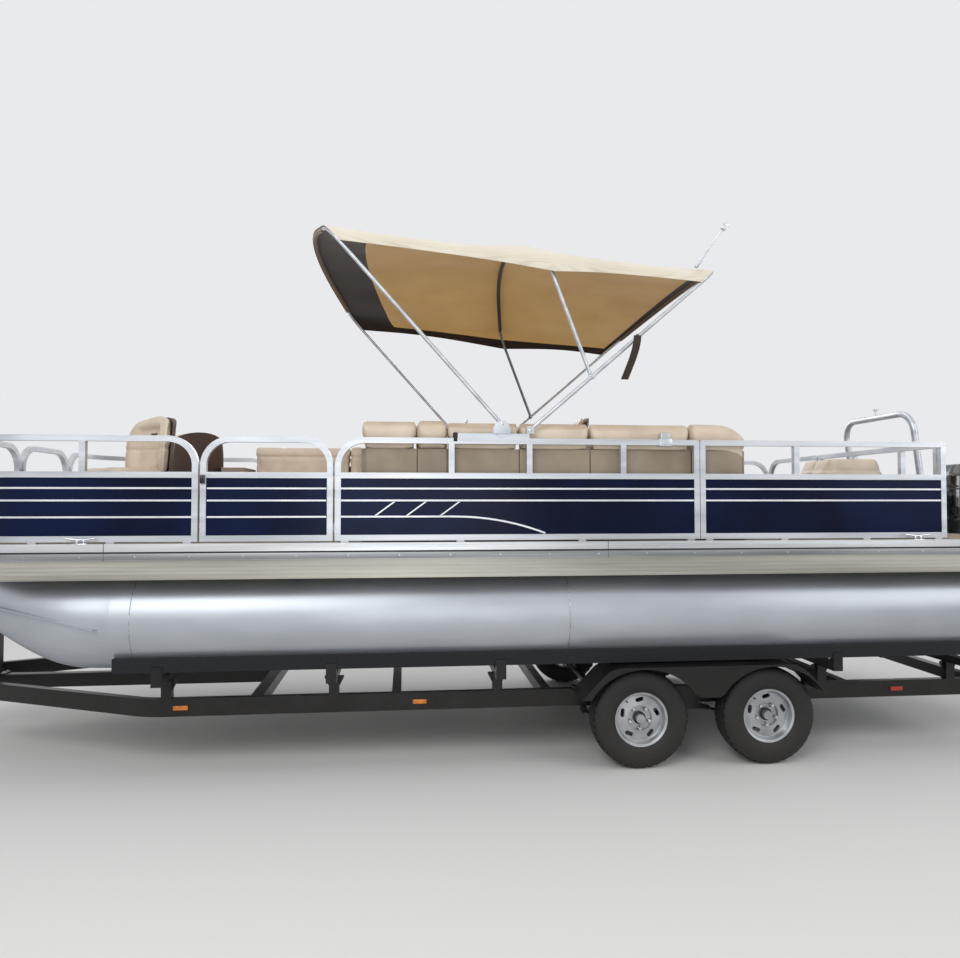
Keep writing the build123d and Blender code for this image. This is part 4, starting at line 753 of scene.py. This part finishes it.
def chair_wrap(top, half, front, thick, bolster):
    """A rounded back: a squircle sheet bent round the sitter, with a roll along its edge."""
    alone()
    bpy.ops.mesh.primitive_grid_add(x_subdivisions=40, y_subdivisions=36, size=2)
    sheet = bpy.context.object
    for vertex in sheet.data.vertices:
        a, b = vertex.co.x, vertex.co.y
        reach = min(1, max(0, (max(abs(a), b) - 0.62) / 0.38))
        across = a * sqrt(1 - (0.42 if b > 0 else 0.10) * b * b)
        up = (b * sqrt(1 - 0.36 * a * a) if b > 0 else b) / 2 + 0.5
        roll = bolster * sin(pi * reach) ** 0.6 if 0 < reach < 1 else 0.0
        vertex.co = (front + 0.085 * across * across - 0.035 * up + roll, across * half, seat_top + up * top)
    modify(sheet, "SOLIDIFY", thickness=thick, offset=0)
    apply_all(sheet)
    return sheet


def chair_parts(back_top):
    """Shell, pads, swivel and grip of one fishing chair; back_top is over the seat."""
    tub = rounded_block((-0.205, -0.238, 0.325), (0.222, 0.238, 0.385), 0.075, 0.018)
    hard = join([tub, chair_wrap(back_top + 0.004, 0.236, -0.250, 0.022, 0.0)])
    seat = rounded_block((-0.180, -0.222, 0.378), (0.221, 0.222, 0.458), 0.080, 0.028)
    inflate(remeshed(seat, 0.011), 0.012)
    sew(seat, ((1, -0.125), (1, 0.125), (0, 0.130)), 0.007, 0.009)
    back = chair_wrap(back_top, 0.222, -0.212, 0.050, 0.022)
    inflate(remeshed(back, 0.011), 0.010)
    sew(back, ((2, seat_top + back_top * 0.42),), 0.006, 0.009)
    grip = onto(back, (0.3, 0, seat_top + back_top * 0.68), AFT)
    slot = rounded_block(grip - Vector((0.020, 0.050, 0.013)), grip + Vector((0.002, 0.050, 0.013)), 0.006, 0.003)
    plate = turned(((0.0, 0.272), (0.062, 0.272), (0.066, 0.276), (0.066, 0.300), (0.11, 0.312), (0.11, 0.326),
                    (0.0, 0.326)), ORIGIN, UP)
    return hard, seat, back, plate, slot


short_chair = chair_parts(0.38)
tall_chair = chair_parts(0.56)
chair_looks = (
    ("shell", brown_shell, "chair_vinyl"), ("seat_pad", beige_vinyl, "chair_vinyl"),
    ("back_pad", beige_vinyl, "chair_vinyl"), ("swivel", frame_aluminium, "frame_aluminium"),
    ("handle_slot", brown_shell, "chair_vinyl"),
)
for name, x, y, angle, parts in (
    ("bow_chair_port", 2.470, 0.780, 50, short_chair),
    ("bow_chair_starboard", 2.525, -0.780, -50, short_chair),
    ("helm_chair", -0.72, -0.78, 0, tall_chair),
):
    for source, (label, look, slot_name) in zip(parts, chair_looks):
        piece = set_at(twin(source), (x, y, deck_z), (0, 0, radians(angle)))
        if label != "swivel":
            kept_in(piece, *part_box(name))
        dress(piece, f"{name}_{label}", name + "_body", look, 60)
        if label == "shell":
            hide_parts(name)
for spare in short_chair + tall_chair:
    bpy.data.objects.remove(spare)
folded = solid_copy("aft_chair")
kept_in(inflate(remeshed(shrunk(folded, 0.008), 0.013), 0.014, 6), *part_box("aft_chair"))
sew(folded, ((2, deck_z + 0.465), (1, 0.77)), 0.006, 0.012)
dress(folded, "aft_chair_folded", "aft_chair_body", beige_vinyl, 60)
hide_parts("aft_chair")


# Canopy: one sheet over three hoops
hoops = (
    # foot x, z, leg top x, z, crown over the leg's top and its bend, of the front, middle and rear hoop
    (0.042, 2.196, 1.059, 3.330, 0.405, 2.30),
    (-0.550, 2.5136, -0.300, 3.177, 0.475, 1.85),
    (-0.140, 2.159, -1.271, 3.137, 0.405, 2.30),
)
knee_z, knee_r, crown_y = 0.118, 0.150, 0.35 * bow_y


def hoop_outline(crown_z, bend, off):
    """Half across and height over the leg's top, all along a hoop's line, off metres outside the tube's own."""
    slope = Vector((bow_y - crown_y, crown_z - knee_z)).normalized()
    side_y = bow_y + off
    knee = knee_z + off * (1 - slope.y) / slope.x
    flat = crown_y + off * (1 - slope.x) / slope.y
    half = ((side_y, 0.0), (side_y, knee), (flat, crown_z + off))
    corners = (*half, *((-y, z) for y, z in reversed(half)))
    return rounded(corners, (knee_r + off, bend + off, bend + off, knee_r + off))


sheet_lines = [hoop_outline(crown, bend, 0.021) for *_, crown, bend in hoops]
tube_lines = [hoop_outline(crown, bend, 0.0) for *_, crown, bend in hoops]


def on_hoop(which, share, lines=sheet_lines):
    """A place on a hoop's line, share of the way from port to starboard."""
    foot_x, foot_z, top_x, top_z, _, _ = hoops[which]
    length = hypot(top_x - foot_x, top_z - foot_z)
    across = along(*lines[which], share)
    up = length + across.y
    return Vector((foot_x + (top_x - foot_x) * up / length, across.x, foot_z + (top_z - foot_z) * up / length))


# The middle hoop's share of the sheet's run, where its side hem begins, and its hang between two hoops
middle_at, hem_at, hang, ripple, tuck, lift = 0.52, 0.86, 0.030, 0.003, 0.016, 0.020
# Where the dark bands below end: front, side and rear
front_band, side_band, rear_band = 0.135, 0.93, 0.975
alone()
bpy.ops.mesh.primitive_grid_add(x_subdivisions=44, y_subdivisions=60, size=1)
cloth_top = bpy.context.object
cells = [(face.center.x + 0.5, abs(face.center.y) * 2) for face in cloth_top.data.polygons]
for vertex in cloth_top.data.vertices:
    run, share = vertex.co.x + 0.5, vertex.co.y + 0.5
    before = run < middle_at
    part = run / middle_at if before else (run - middle_at) / (1 - middle_at)
    place = on_hoop(0 if before else 1, share).lerp(on_hoop(1 if before else 2, share), part)
    middle = sin(pi * part)
    edge = abs(share - 0.5) * 2
    place.z -= middle * (hang * (1 - edge**6) + ripple * sin(share * 47 + run * 9))
    if edge > hem_at:
        place.y -= tuck * middle * (1 if place.y > 0 else -1)
        place.z += lift * middle * (edge - hem_at) / (1 - hem_at)
    vertex.co = place
modify(cloth_top, "SOLIDIFY", thickness=0.003, offset=0, use_rim=True, material_offset=1, material_offset_rim=0)
cloth_top.data.materials.clear()
for finish in (canvas_top, canvas_under_painted_glow, canvas_dark):
    cloth_top.data.materials.append(finish)
apply_all(cloth_top)
for face in cloth_top.data.polygons:
    if face.material_index == 1:
        run, edge = cells[face.index % len(cells)]
        if run < front_band or edge > side_band or run > rear_band:
            face.material_index = 2
settle(cloth_top)
cloth_top.name = "canopy_sheet"
bpy.ops.object.shade_smooth_by_angle(angle=radians(50))
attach(cloth_top, BOAT)
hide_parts("bimini_canopy")
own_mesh(cloth_top)

# Sleeves that hold the sheet to the hoops, with their zips
for which, body, low, high, narrow, look, name in (
    (0, "front_bow", 0.10, 0.90, 1.0, canvas_hem, "canopy_front_sleeve"),
    (1, "mid_bow", 0.07, 0.93, 0.965, canvas_dark, "canopy_middle_sleeve"),
    (2, BOAT, 0.10, 0.90, 1.0, canvas_hem, "canopy_rear_sleeve"),
):
    line = [on_hoop(which, low + (high - low) * i / 40, tube_lines) for i in range(41)]
    line = [Vector((place.x, place.y * narrow, place.z - 0.002)) for place in line]
    sleeve = bent(line, 0.0165)
    dress(sleeve, name, body, look, 60)
    zip_line = [place + Vector((0.010, 0, -0.014)) for place in line]
    dress(bent(zip_line, 0.0035, 1), name + "_zip", body, satin_black, 60)

# A tie strap that hangs from the near rear leg
alone()
bpy.ops.mesh.primitive_grid_add(x_subdivisions=4, y_subdivisions=24, size=1)
strap = bpy.context.object
for vertex in strap.data.vertices:
    wide, down = vertex.co.x * 0.05, 0.5 - vertex.co.y
    vertex.co = (-0.837 + 0.085 * down**1.4 + wide, 1.232 + 0.010 * sin(down * 5) + 0.10 * wide * down,
                 2.775 - 0.285 * down)
modify(strap, "SOLIDIFY", thickness=0.0025)
apply_all(strap)
dress(strap, "canopy_tie_strap", BOAT, canvas_dark, 60)
strap_loop = hoop((-0.850, bow_y, 2.777), (-1.131, 0, 0.978), 0.0155, 0.0028, 32)
dress(strap_loop, "strap_loop", BOAT, webbing, 60)

# Logs: weld beads, a domed rear cap with its drain plug, and the tow eyes at the stern
log_y, log_z, log_r, log_rear = 0.885, 0.967, 0.320, -3.6195
for side, side_name in sides:
    y, drain_z = side * log_y, log_z - 0.235
    seams = [hoop((x, y, log_z), (1, 0, 0), log_r + 0.0006, 0.0026, 96) for x in (2.29, -0.398, log_rear)]
    dress(join(seams), f"log_weld_beads_{side_name}", BOAT, weld_bead, 60)
    cap = turned(((0.312, 0.0), (0.300, 0.008), (0.240, 0.018), (0.120, 0.026), (0.0, 0.028)),
                 (log_rear, y, log_z), AFT, 64)
    dress(cap, f"log_end_cap_{side_name}", BOAT, mill_aluminium, 60)
    plug = join([turned(((0.019, 0.0), (0.019, 0.008), (0.0, 0.008)), (-3.632, y, drain_z), AFT, 24),
                 bar((-3.640, y, drain_z), (-3.652, y, drain_z), 0.009, 0.001, 4)])
    dress(plug, f"log_drain_plug_{side_name}", BOAT, stainless)
    eye = join([hoop((-3.655, y, log_z + 0.16), PORT, 0.020, 0.005, 32),
                brick((-3.652, y - 0.02, log_z + 0.125), (-3.630, y + 0.02, log_z + 0.195), 0.003)])
    dress(eye, f"log_tow_eye_{side_name}", BOAT, stainless)

# Deck edge: the darker lower band of the rub rail, its insert, its screws and the joints in it
trim_y, trim_rear, trim_front = 1.2955, -3.5755, 3.4555
edge, _ = rounded(((-3.575, 1.21), (trim_rear, trim_y), (trim_front, trim_y), (trim_front, -trim_y),
                   (trim_rear, -trim_y), (-3.575, -1.21)), (0.084, 0.524, 0.524, 0.084), 16)
dress(band(edge, 1.381, 0.038, 0.003), "edge_lower_band", BOAT, dark_edge)
dress(band(edge, 1.4055, 0.009, 0.006), "edge_rub_insert", BOAT, black_rubber)
screw = turned(((0.0052, 0.0), (0.004, 0.0018), (0.0, 0.0026)), ORIGIN, PORT, 12)
spots = [((-3.35 + 0.31 * i, side * 1.2958, 1.381), (0, 0, 0 if side > 0 else pi))
         for side, _ in sides for i in range(21)]
dress(stamped(screw, spots), "edge_screws", BOAT, stainless)
joints = [sided(side, (x - 0.0012, 1.2915, 1.357), (x + 0.0012, 1.2975, 1.460), 0.0005)
          for side, _ in sides for x in (2.406, -0.62)]
dress(join(joints), "edge_joints", BOAT, lamp_case)

# Mooring cleats on the ledge outside the fence
for side, side_name in sides:
    for x, place in ((2.55, "bow"), (-2.72, "aft")):
        y = side * 1.259
        horn = [(x + dx, y, z)
                for dx, z in ((-0.082, 1.489), (-0.045, 1.484), (0, 1.480), (0.045, 1.484), (0.082, 1.489))]
        cleat = join([
            brick((x - 0.040, y - 0.014, 1.4525), (x + 0.040, y + 0.014, 1.459), 0.003),
            *(brick((x + dx - 0.007, y - 0.008, 1.456), (x + dx + 0.007, y + 0.008, 1.478), 0.003)
              for dx in (-0.019, 0.019)),
            bent(horn, 0.0065),
        ])
        dress(cleat, f"cleat_{place}_{side_name}", BOAT, stainless)

# Lights the law asks for: red and green at the bow, white on a pole at the canopy's rear
for (side, side_name), lens in zip(sides, (red_lens, green_lens)):
    base = sided(side, (3.372, 0.754, 1.4525), (3.428, 0.806, 1.476), 0.006, 3)
    dress(base, f"bow_light_case_{side_name}", BOAT, lamp_case)
    glass = sided(side, (3.382, 0.758, 1.474), (3.426, 0.802, 1.500), 0.009, 4)
    dress(glass, f"bow_light_lens_{side_name}", BOAT, lens)
foot, tip = Vector((-1.257, bow_y, 3.262)), Vector((-1.425, bow_y, 3.495))
pole = join([bar(foot, tip, 0.0055), bar(foot.lerp(tip, -0.1), foot.lerp(tip, 0.12), 0.012),
             bar(tip, tip.lerp(foot, -0.07), 0.017)])
dress(pole, "anchor_light_pole", BOAT, anodised_tube)
alone()
bpy.ops.mesh.primitive_uv_sphere_add(segments=24, ring_count=14, radius=0.021, location=tip.lerp(foot, -0.12))
dress(bpy.context.object, "anchor_light_globe", BOAT, clear_lens, 80)

# Gate latches: a case on each gate's free post with a thumb lever
for gate, axis, low, high, lever in (
    ("port_gate", 1, (1.852, 1.2225, 1.815), (1.880, 1.240, 1.868), (0.012, 0.010, 0.030)),
    ("bow_gate", 0, (3.346, -0.356, 1.815), (3.362, -0.330, 1.868), (0.010, 0.012, 0.030)),
    ("stern_gate", 0, (-2.996, -1.145, 1.815), (-2.979, -1.118, 1.868), (0.010, 0.012, 0.030)),
):
    low, high, reach = Vector(low), Vector(high), Vector(lever) / 2
    thumb = (low + high) / 2
    thumb[axis] += 0.012 if thumb[axis] > 0 else -0.012
    latch = join([brick(low, high, 0.003), brick(thumb - reach, thumb + reach, 0.002)])
    dress(latch, gate + "_latch", gate + "_body", satin_black)

# The stripes go on across the gates, which carry their own
for gate, low_end, high_end, levels in (
    ("port_gate", (1.130, 1.2185), (1.842, 1.2205), (1.613, 1.713, 1.787)),
    ("bow_gate", (3.3435, -0.320), (3.3455, 0.320), (1.613, 1.713, 1.787)),
    ("stern_gate", (-2.9575, -1.110), (-2.9555, -0.310), (1.713, 1.787)),
):
    stripes = [brick((*low_end, z - 0.0055), (*high_end, z + 0.0055), 0.0006, 1) for z in levels]
    dress(join(stripes), gate + "_stripes", gate + "_body", silver_stripe)

# Canopy feet: end blocks, pivot bolts, and the clamp on the top rail
arch_foot = 2.134
for side, side_name in sides:
    y = side * bow_y
    dress(brick((0.320, y - 0.019, 2.080), (0.350, y + 0.019, 2.140), 0.006, 3),
          f"bimini_end_block_{side_name}", BOAT, black_rubber)
    arch = turned(mirrored(((0.0, -0.0205), (0.052, -0.0205), (0.055, -0.018))), (0.042, y, 2.142), PORT, 48)
    for vertex in arch.data.vertices:
        vertex.co.z = max(vertex.co.z, arch_foot)
    for half in (-1, 1):
        cheek = twin(arch)
        for vertex in cheek.data.vertices:
            vertex.co.y = y + half * 0.0275 + (vertex.co.y - y) * 0.16
            vertex.co.z = arch_foot + (vertex.co.z - arch_foot) * 1.32
        where = "out" if half == side else "in"
        dress(cheek, f"bimini_cheek_{where}_{side_name}", BOAT, anodised_tube)
    bpy.data.objects.remove(arch)
    heads = [bolt((x, side * (bow_y + out), z), (0, side, 0), 0.008)
             for x, z, out in ((0.042, 2.196, 0.031), (-0.140, 2.159, 0.015))]
    dress(join(heads), f"bimini_foot_bolts_{side_name}", BOAT, stainless)
    clamp = join([
        brick((-1.064, y - 0.026, 2.062), (-0.980, y + 0.026, 2.112), 0.004),
        brick((-1.054, y - 0.019, 2.108), (-0.990, y + 0.019, 2.148), 0.005, 3),
        *(bolt((x, y, 2.147), UP, 0.005) for x in (-1.040, -1.004)),
    ])
    dress(clamp, f"rail_clamp_{side_name}", BOAT, anodised_tube)

# Helm: dials, switches, radio blank, throttle and cup holders, all on the console's faces
dash_turn = (0, radians(-63.43), 0)
dash_foot, dash_way = Vector((-0.100, 0, 2.013)), Vector((0.130, 0, 0.260))


def on_dash(piece, share, y, out=0.002):
    """Puts a piece made at the origin on the raked dash: share of the way up it, and out from it."""
    return set_at(piece, dash_foot + dash_way * share + Vector((-0.894 * out, y, 0.447 * out)), dash_turn)


panel = on_dash(brick((-0.125, -0.315, -0.001), (0.130, 0.315, 0.0025), 0.002), 0.49, -0.775, 0)
dress(panel, "dash_panel", BOAT, dash_panel)
for y, radius, name in ((-0.60, 0.034, "fuel_dial"), (-0.69, 0.042, "speed_dial"), (-0.91, 0.042, "engine_dial"),
                        (-1.00, 0.034, "volt_dial")):
    rim = turned(((radius, 0.0), (radius, 0.008), (radius - 0.004, 0.011), (radius - 0.007, 0.006),
                  (radius - 0.007, 0.0)), ORIGIN, UP, 40)
    dress(on_dash(rim, 0.80, y), name + "_rim", BOAT, stainless)
    face = turned(((radius - 0.006, 0.0), (radius - 0.006, 0.0045), (0.0, 0.0045)), ORIGIN, UP, 40)
    dress(on_dash(face, 0.80, y), name + "_face", BOAT, dial_face)
    marks, lift = [], Vector((0, 0, 0.0052))
    for i in range(9):
        angle = radians(30 * i - 120)
        spoke = Vector((cos(angle), sin(angle), 0))
        marks.append(bar(spoke * (radius - 0.014) + lift, spoke * (radius - 0.009) + lift, 0.0007, 0.0002, 8))
    reach = (radius - 0.016) * 0.7
    marks.append(bar((0, 0, 0.0055), (-reach, reach, 0.0055), 0.0009, 0.0002, 8))
    dress(on_dash(join(marks), 0.80, y), name + "_marks", BOAT, dial_mark)
rockers = [on_dash(brick((-0.010, -0.006, 0.0), (0.010, 0.006, 0.007), 0.002), 0.42, -0.52 - 0.022 * i)
           for i in range(5)]
dress(join(rockers), "dash_rockers", BOAT, satin_black)
radio = [on_dash(brick((-0.024, -0.090, 0.0), (0.024, 0.090, 0.006), 0.003), 0.42, -0.985),
         on_dash(turned(((0.012, 0.0), (0.012, 0.016), (0.010, 0.018), (0.0, 0.018)), ORIGIN, UP, 24), 0.42, -0.915,
                 0.006)]
dress(join(radio), "radio_blank", BOAT, satin_black)
key = [on_dash(turned(((0.013, 0.0), (0.013, 0.005), (0.010, 0.008), (0.0, 0.008)), ORIGIN, UP, 24), 0.20, -0.58),
       on_dash(brick((-0.009, -0.0015, 0.006), (0.009, 0.0015, 0.026), 0.001), 0.20, -0.58)]
dress(join(key), "ignition_key", BOAT, stainless)
throttle = join([
    brick((0.055, -1.085, 2.268), (0.165, -1.005, 2.312), 0.010, 3),
    turned(((0.034, 0.0), (0.034, 0.030), (0.030, 0.034), (0.0, 0.034)), (0.108, -1.062, 2.328), PORT),
])
dress(throttle, "throttle_case", BOAT, satin_black)
lever = join([bar((0.108, -1.018, 2.330), (0.082, -1.018, 2.440), 0.006),
              bar((0.082, -1.045, 2.446), (0.082, -0.975, 2.446), 0.014, 0.004)])
dress(lever, "throttle_lever", BOAT, stainless)
for x in (0.16, 0.30):
    top = onto(bpy.data.objects["console"], (x, -0.52, 3.0), (0, 0, -1))
    cup = turned(((0.050, 0.0), (0.050, 0.004), (0.046, 0.006), (0.041, 0.005), (0.040, 0.001), (0.0, 0.001)),
                 top, UP, 40)
    dress(cup, f"console_cup_holder_{round(x * 100)}", BOAT, stainless)
door = brick((0.04, -0.427, 1.52), (0.42, -0.4215, 2.00), 0.003)
dress(door, "console_door", BOAT, console_skin)
door_latch = join([brick((0.375, -0.4225, 1.74), (0.402, -0.4165, 1.80), 0.003),
                   bar((0.388, -0.424, 1.77), (0.388, -0.412, 1.77), 0.009)])
dress(door_latch, "console_door_latch", BOAT, stainless)
grab = [(0.40, y, z) for y, z in ((-0.60, 2.298), (-0.60, 2.350), (-0.64, 2.356), (-0.96, 2.356), (-1.00, 2.350),
                                  (-1.00, 2.298))]
dress(bent(grab, 0.010), "console_grab_rail", BOAT, stainless, 60)
wheel_way = Vector((-cos(radians(32)), 0, sin(radians(32))))
wheel_hub = Vector((-0.045, -0.8, 2.133)) + wheel_way * 0.07
hub_cap = turned(((0.036, 0.0), (0.034, 0.008), (0.024, 0.013), (0.0, 0.015)),
                 wheel_hub + wheel_way * 0.0215, wheel_way, 40)
dress(hub_cap, "helm_wheel_cap", "steering_wheel", satin_black)
rim_seam = hoop(wheel_hub + wheel_way * 0.020, wheel_way, 0.1515, 0.0016, 72, 6)
dress(rim_seam, "helm_wheel_stitching", "steering_wheel", dial_mark)

# Outboard: a smooth cowling with its split line, vents and catch, and the small parts of the leg
split_z = 1.565
cowl = remeshed(solid_copy("outboard_cowling"), 0.0105)
modify(cowl, "SMOOTH", iterations=16, factor=0.6)
apply_all(cowl)
sew(cowl, ((2, split_z), (2, 1.82)), 0.004, 0.010)
dress(cowl, "motor_cowling", "outboard", (gloss_black, satin_black), 60)
for face in cowl.data.polygons:
    face.material_index = 1 if face.center.z < split_z else 0
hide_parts("outboard_cowling")
vents = [inset(cowl, (-4.285, side * 0.6, 1.865 + 0.020 * i), (0, -side, 0), (0.050, 0.004, 0.004), 0.002)
         for i in range(5) for side, _ in sides]
dress(join(vents), "cowling_vents", "outboard", satin_black)
place = onto(cowl, (-5.0, 0, 1.60), (1, 0, 0))
catch = join([brick(place + Vector((-0.008, -0.035, -0.055)), place + Vector((0.010, 0.035, -0.010)), 0.005, 3),
              brick(place + Vector((-0.016, -0.018, -0.045)), place + Vector((-0.004, 0.018, -0.018)), 0.003)])
dress(catch, "cowling_catch", "outboard", satin_black)
flashes = [inset(cowl, (-4.08, side * 0.6, 1.70), (0, -side, 0), (0.150, 0.0016, 0.010), 0.0015)
           for side, _ in sides]
dress(join(flashes), "cowling_flashes", "outboard", silver_stripe)
leg = bpy.data.objects["outboard_leg"]
grilles = [inset(leg, (-4.060 - 0.014 * i, side * 0.5, 0.655), (0, -side, 0), (0.0035, 0.003, 0.022), 0.001)
           for side, _ in sides for i in range(5)]
dress(join(grilles), "water_inlets", "outboard", stainless)
anode = join([brick((-4.235, -0.040, 0.765), (-4.150, 0.040, 0.778), 0.004),
              bolt((-4.192, 0, 0.766), (0, 0, -1), 0.007)])
dress(anode, "leg_anode", "outboard", zinc_steel)
prop_low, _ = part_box("propeller")
prop_x, prop_z = prop_low[0], 0.592
nut = join([turned(((0.024, 0.0), (0.024, 0.006), (0.017, 0.010), (0.0, 0.010)), (prop_x + 0.002, 0, prop_z), AFT),
            bar((prop_x - 0.006, 0, prop_z), (prop_x - 0.022, 0, prop_z), 0.015, 0.002, 6)])
dress(nut, "propeller_nut", "propeller_body", stainless)

# Trailer running gear: U-bolts and tie plates round each axle
u_bolts, plates = [], []
for _, x in axle_places:
    for side, _ in sides:
        for y in (side * 0.9215, side * 0.9785):
            half = ((-0.039, 0.318), (-0.039, 0.215), (-0.038, 0.178))
            loop = (*half, (0, 0.170), *((-dx, z) for dx, z in reversed(half)))
            u_bolts.append(bent([(x + dx, y, z) for dx, z in loop], 0.0055, 2))
            u_bolts += [bar((x + dx, y, 0.293), (x + dx, y, 0.304), 0.0105, 0.001, 6) for dx in (-0.039, 0.039)]
        plates.append(sided(side, (x - 0.056, 0.908, 0.284), (x + 0.056, 0.992, 0.292), 0.002))
dress(join(u_bolts), "axle_u_bolts", BOAT, zinc_steel)
dress(join(plates), "spring_tie_plates", BOAT, black_enamel)

# Tail lamps' lenses, side markers, reflectors and a blank number plate
lamp_low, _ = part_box("tail_lamps")
lamp_x = lamp_low[0]
red_glass, amber_glass = [], []
for side, _ in sides:
    red_glass.append(sided(side, (lamp_x - 0.012, 0.990, 0.378), (lamp_x + 0.002, 1.095, 0.450), 0.004, 3))
    amber_glass.append(sided(side, (lamp_x - 0.012, 1.098, 0.378), (lamp_x + 0.002, 1.140, 0.450), 0.004, 3))
    red_glass.append(sided(side, (lamp_x + 0.006, 1.1445, 0.400), (lamp_x + 0.032, 1.150, 0.430), 0.002))
    for x, glass in ((2.05, amber_glass), (0.55, amber_glass), (-2.75, red_glass)):
        glass.append(sided(side, (x - 0.045, 0.9745, 0.394), (x + 0.045, 0.985, 0.422), 0.003, 3))
rear_x = onto(bpy.data.objects["trailer_crossmembers"], (-4.5, -0.40, 0.40), (1, 0, 0)).x
red_glass += [brick((rear_x - 0.012, y - 0.035, 0.400), (rear_x + 0.002, y + 0.035, 0.422), 0.003)
              for y in (-0.08, 0.0, 0.08)]
dress(join(red_glass), "trailer_red_lenses", BOAT, red_lens)
dress(join(amber_glass), "trailer_amber_lenses", BOAT, amber_lens)
plate = brick((rear_x - 0.010, -0.550, 0.350), (rear_x - 0.006, -0.250, 0.480), 0.0015)
dress(plate, "blank_number_plate", BOAT, dial_mark)
holder = join([brick((rear_x - 0.0065, -0.556, 0.344), (rear_x + 0.001, -0.244, 0.486), 0.002),
               *(bolt((rear_x - 0.010, y, 0.470), AFT, 0.005) for y in (-0.520, -0.280))])
dress(holder, "number_plate_holder", BOAT, satin_black)

# Tongue: the bow stop's roller, the wound strap, the crank grips and the winch post's bolts
stop_z, mast_x = 1.414, 3.660
roller = turned(mirrored(((0.0, -0.0695), (0.040, -0.0695), (0.046, -0.062), (0.0475, -0.02))),
                (mast_x - 0.130, 0, stop_z - 0.035), PORT, 40)
dress(roller, "bow_stop_roller", BOAT, black_rubber)
winch_x = mast_x + 0.095
spool = turned(mirrored(((0.0, -0.043), (0.064, -0.043), (0.064, -0.039), (0.055, -0.038))),
               (winch_x, 0, stop_z - 0.240), PORT, 40)
dress(spool, "winch_spool", BOAT, webbing)
grips = join([bar((winch_x, -0.120, stop_z - 0.070), (winch_x, -0.2055, stop_z - 0.070), 0.0175, 0.004),
              bar((3.86, 0.228, 0.598), (3.86, 0.228, 0.702), 0.0165, 0.004)])
dress(grips, "crank_grips", BOAT, black_rubber)
mast_bolts = [bolt((x, y, 0.441), UP) for x in (mast_x - 0.072, mast_x + 0.142) for y in (-0.034, 0.034)]
dress(join(mast_bolts), "winch_post_bolts", BOAT, zinc_steel)

# Middle canopy bow: the crown and the starboard leg, which the solid lacks; its tube's own centre line
foot_x, foot_z, top_x, top_z, _, _ = hoops[1]
bow_length = hypot(top_x - foot_x, top_z - foot_z)
outline, _ = rounded(((0.80, 1.0015), (0.42175, 1.18395), (-0.42175, 1.18395), (-1.162, 0.82695), (-1.162, -0.014)),
                     (1.83, 1.83, 0.150))
far_half = bent([(foot_x + (top_x - foot_x) * up / bow_length, y, foot_z + (top_z - foot_z) * up / bow_length)
                 for y, up in outline], 0.0125, 5, 2)
dress(far_half, "bimini_mid_bow_far_half", "mid_bow", frame_aluminium, 60)

# Lounge shell: the dark joints between its moulded sections
joints = [brick((x - 0.003, 1.1645, 1.47), (x + 0.003, 1.1665, 2.035), 0.0006, 1)
          for x in (0.573, 0.385, -0.077, -0.539, -1.215)]
dress(join(joints), "lounge_shell_joints", BOAT, brown_shell)


# Floor, light and camera
alone()
bpy.ops.mesh.primitive_plane_add(size=60, location=(0, 0, 0))
floor = bpy.context.object
floor.name = "studio_floor"
made, tree, shader = finish_of("pale_floor", Roughness=0.9)
shader.inputs["Base Color"].default_value = tone("#dcdcda")
floor.data.materials.append(made)

world = bpy.data.worlds.new("studio")
bpy.context.scene.world = world
world.use_nodes = True
tree = world.node_tree
sky = tree.nodes["Background"]
ray = node(tree, "ShaderNodeLightPath")
seen = node(tree, "ShaderNodeMath", ((ray.outputs["Is Camera Ray"], 0), (ray.outputs["Is Glossy Ray"], 1)),
            operation="MAXIMUM")
level = node(tree, "ShaderNodeMapRange", ((seen.outputs[0], "Value"),), To_Min=0.52, To_Max=0.9)
sky.inputs["Color"].default_value = tone("#f4f5f7")
tree.links.new(level.outputs[0], sky.inputs["Strength"])

for name, place, aim, size, power in (
    ("key", (4.0, 8.5, 6.5), (0, 0, 1.4), 5.0, 390),
    ("fill", (-7.5, 6.0, 4.5), (-1, 0, 1.4), 5.0, 160),
    ("top", (0, 0, 9.0), (0, 0, 0), 8.0, 230),
    ("back", (0, -9.0, 6.0), (0, 0, 1.2), 6.0, 270),
    ("under", (0.5, 7.0, 1.7), (0, 0, 0.9), 3.0, 40),
):
    lamp = bpy.data.lights.new(name, "AREA")
    lamp.size = size
    lamp.energy = power
    holder = bpy.data.objects.new(name, lamp)
    bpy.context.scene.collection.objects.link(holder)
    holder.location = place
    holder.rotation_euler = (Vector(aim) - Vector(place)).to_track_quat("-Z", "Y").to_euler()

view = bpy.data.cameras.new("photo_view")
view.lens = 27.75
view.sensor_width = 36
view.clip_end = 200
camera = bpy.data.objects.new("photo_view", view)
bpy.context.scene.collection.objects.link(camera)
camera.location = (0.65, 5.84, 1.716)
camera.rotation_euler = (radians(90 + 1.626), 0, radians(174.2))
bpy.context.scene.camera = camera
bpy.context.scene.view_settings.view_transform = "Standard"
